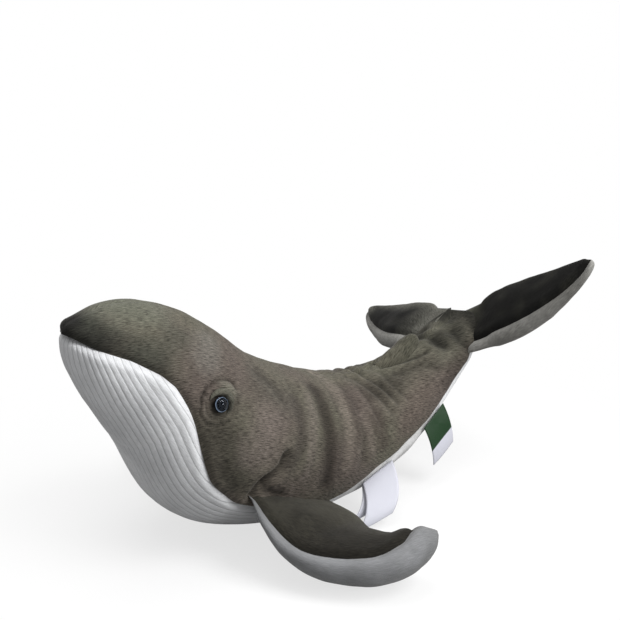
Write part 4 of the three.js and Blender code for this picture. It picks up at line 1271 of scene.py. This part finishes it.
class WHALE_OT_fillings(bpy.types.Operator):
    """Stuffs the body, flippers, flukes and fin"""
    bl_idname = "whale.fillings"
    bl_label = "Fillings"

    def execute(self, context):
        sizes = context.scene.whale_sizes
        fluff = fibre_fill()
        flipper = flipper_bag(sizes)
        left_fluke, right_fluke = (fluke_bag(sizes, *turns) for _, *turns in FLUKES)
        stuffings = [
            ("body", whale_body(sizes), (0.06, 0.94), 9, "whale_body", 1),
            ("left_flipper", flipper, (0.24, 0.86), 5, "left_flipper", 1),
            ("right_flipper", flipper, (0.24, 0.86), 5, "right_flipper", -1),
            ("left_fluke", left_fluke, (0.26, 0.84), 5.4, "left_fluke", 1),
            ("right_fluke", right_fluke, (0.26, 0.84), 5.4, "right_fluke", 1),
            ("back_fin", fin_bag(sizes), (0.3, 0.85), 3.2, "whale_body", 1),
        ]
        rows, columns = 40, 30
        end = np.arange(columns)
        faces = grid_faces(rows, columns, wrap=True).tolist() + [end, rows * columns + end[::-1]]
        for name, bag, span, millimetres, rides, hand in stuffings:
            depth = millimetres * MM
            points, normals = bag.points(*tube_grid(np.linspace(*span, rows + 1), columns), depth)
            points -= normals * (0.3 * depth * np.abs(surface_noise(points, 8 * MM, 6.1)))[:, None]
            piece = close_faces(new_piece(f"{name}_filling_tufts", points * [1, hand, 1], faces))
            dress(piece, fluff, "fibre_filling", f"{name}_filling", rides)
        return {"FINISHED"}


# The photograph's view, in degrees and metres
VIEW_TURN = -35
VIEW_RISE = 20
VIEW_DISTANCE = 0.9
VIEW_TARGET = (0.00335, 0, 0.1569)
FOCAL_PX = 1200
IMAGE_PX = 620
SENSOR_MM = 36


def soft_lamp(name, place, aim, size, watts):
    """A square area lamp at a place, aimed at a point."""
    light = bpy.data.lights.new(name, "AREA")
    light.size = size
    light.energy = watts
    lamp = bpy.data.objects.new(name, light)
    lamp.location = place
    lamp.rotation_euler = (Vector(place) - Vector(aim)).to_track_quat("Z", "Y").to_euler()
    bpy.context.scene.collection.objects.link(lamp)


def seen_rays(add):
    """The camera's rays, and all that show the white background: also those by gloss and glass."""
    rays = add("LightPath")
    camera = rays.outputs["Is Camera Ray"]
    seen = camera
    for kind in ("Is Glossy Ray", "Is Transmission Ray"):
        seen = add("Math", {0: seen, 1: rays.outputs[kind]}, operation="MAXIMUM")
    return camera, seen


def studio_floor():
    """A matt white floor that keeps the soft shadow and fades to a white background."""
    material, add = new_material("matt_white_studio_floor")
    place = add("TexCoord").outputs["Object"]
    camera, seen = seen_rays(add)
    grain = add("TexNoise", {"Vector": place, "Scale": 40.0})
    shade = add("Mix", {FACTOR: grain, FIRST: (0.93, 0.93, 0.93, 1), SECOND: (0.95, 0.95, 0.95, 1)},
                **BLENDED)
    shade = add("Mix", {FACTOR: camera, FIRST: (0.3, 0.3, 0.3, 1), SECOND: shade}, **BLENDED)
    matt = add("BsdfDiffuse", {"Color": shade})
    away = add("VectorMath", {0: place}, operation="LENGTH")
    fade = add("MapRange", {"Value": away, "From Min": 0.12, "From Max": 0.34, "To Min": 0.7,
                            "To Max": 1.0}, interpolation_type="SMOOTHSTEP")
    white = add("Math", {0: fade, 1: seen}, operation="MULTIPLY")
    glow = add("Emission", {"Color": (1, 1, 1, 1), "Strength": 1.0})
    add("OutputMaterial", {"Surface": add("MixShader", {0: white, 1: matt, 2: glow})})
    return material


class WHALE_OT_stage(bpy.types.Operator):
    """Sets up the pale floor, the soft studio light and the camera"""
    bl_idname = "whale.stage"
    bl_label = "Stage"

    def execute(self, context):
        scene = context.scene
        turn, rise = math.radians(VIEW_TURN), math.radians(VIEW_RISE)
        back = Vector((math.sin(turn) * math.cos(rise), -math.cos(turn) * math.cos(rise), math.sin(rise)))
        lens = bpy.data.cameras.new("camera")
        lens.sensor_width = SENSOR_MM
        lens.lens = FOCAL_PX / IMAGE_PX * SENSOR_MM
        lens.clip_start = 0.01
        camera = bpy.data.objects.new("camera", lens)
        camera.location = Vector(VIEW_TARGET) + back * VIEW_DISTANCE
        camera.rotation_euler = back.to_track_quat("Z", "Y").to_euler()
        scene.collection.objects.link(camera)
        scene.camera = camera
        half, under = 3.0, -0.5 * MM
        corners = [(-half, -half, under), (half, -half, under), (half, half, under), (-half, half, under)]
        mesh = bpy.data.meshes.new("floor")
        mesh.from_pydata(corners, [], [(0, 1, 2, 3)])
        mesh.materials.append(studio_floor())
        floor = bpy.data.objects.new("floor", mesh)
        scene.collection.objects.link(floor)
        world = bpy.data.worlds.new("studio")
        scene.world = world
        world.use_nodes = True
        world.node_tree.nodes.clear()
        add = partial(add_node, world.node_tree)
        _, seen = seen_rays(add)
        room = add("Background", {"Color": (1, 1, 1, 1), "Strength": 0.4})
        backdrop = add("Background", {"Color": (1, 1, 1, 1), "Strength": 1.0})
        add("OutputWorld", {"Surface": add("MixShader", {0: seen, 1: room, 2: backdrop})})
        soft_lamp("key", (0.35, -0.75, 1.1), (0, 0, 0.08), 0.6, 10.5)
        soft_lamp("front", (0.4, -1.1, 0.6), (-0.08, 0, 0.1), 0.5, 5.4)
        soft_lamp("top", (-0.1, 0.1, 1.3), (0, 0, 0.05), 0.8, 6)
        scene.view_settings.view_transform = "Standard"
        return {"FINISHED"}


class WHALE_PT_panel(bpy.types.Panel):
    """Lists the steps that sew the whale"""
    bl_label = "Plush Humpback Whale"
    bl_idname = "WHALE_PT_panel"
    bl_space_type = "VIEW_3D"
    bl_region_type = "UI"
    bl_category = "Whale"

    def draw(self, context):
        for operator in OPERATORS:
            self.layout.operator(operator.bl_idname)


OPERATORS = (
    WHALE_OT_stage,
    WHALE_OT_body,
    WHALE_OT_back_fin,
    WHALE_OT_flippers,
    WHALE_OT_flukes,
    WHALE_OT_eyes,
    WHALE_OT_eyelids,
    WHALE_OT_labels,
    WHALE_OT_fillings,
)
CLASSES = (WhaleSizes, WhaleColours, *OPERATORS, WHALE_PT_panel)


def register():
    for cls in CLASSES:
        bpy.utils.register_class(cls)
    bpy.types.Scene.whale_sizes = PointerProperty(type=WhaleSizes)
    bpy.types.Scene.whale_colours = PointerProperty(type=WhaleColours)


def unregister():
    del bpy.types.Scene.whale_colours
    del bpy.types.Scene.whale_sizes
    for cls in reversed(CLASSES):
        bpy.utils.unregister_class(cls)


def main():
    register()
    for operator in OPERATORS:
        group, name = operator.bl_idname.split(".")
        getattr(getattr(bpy.ops, group), name)()
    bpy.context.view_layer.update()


if __name__ == "__main__":
    main()
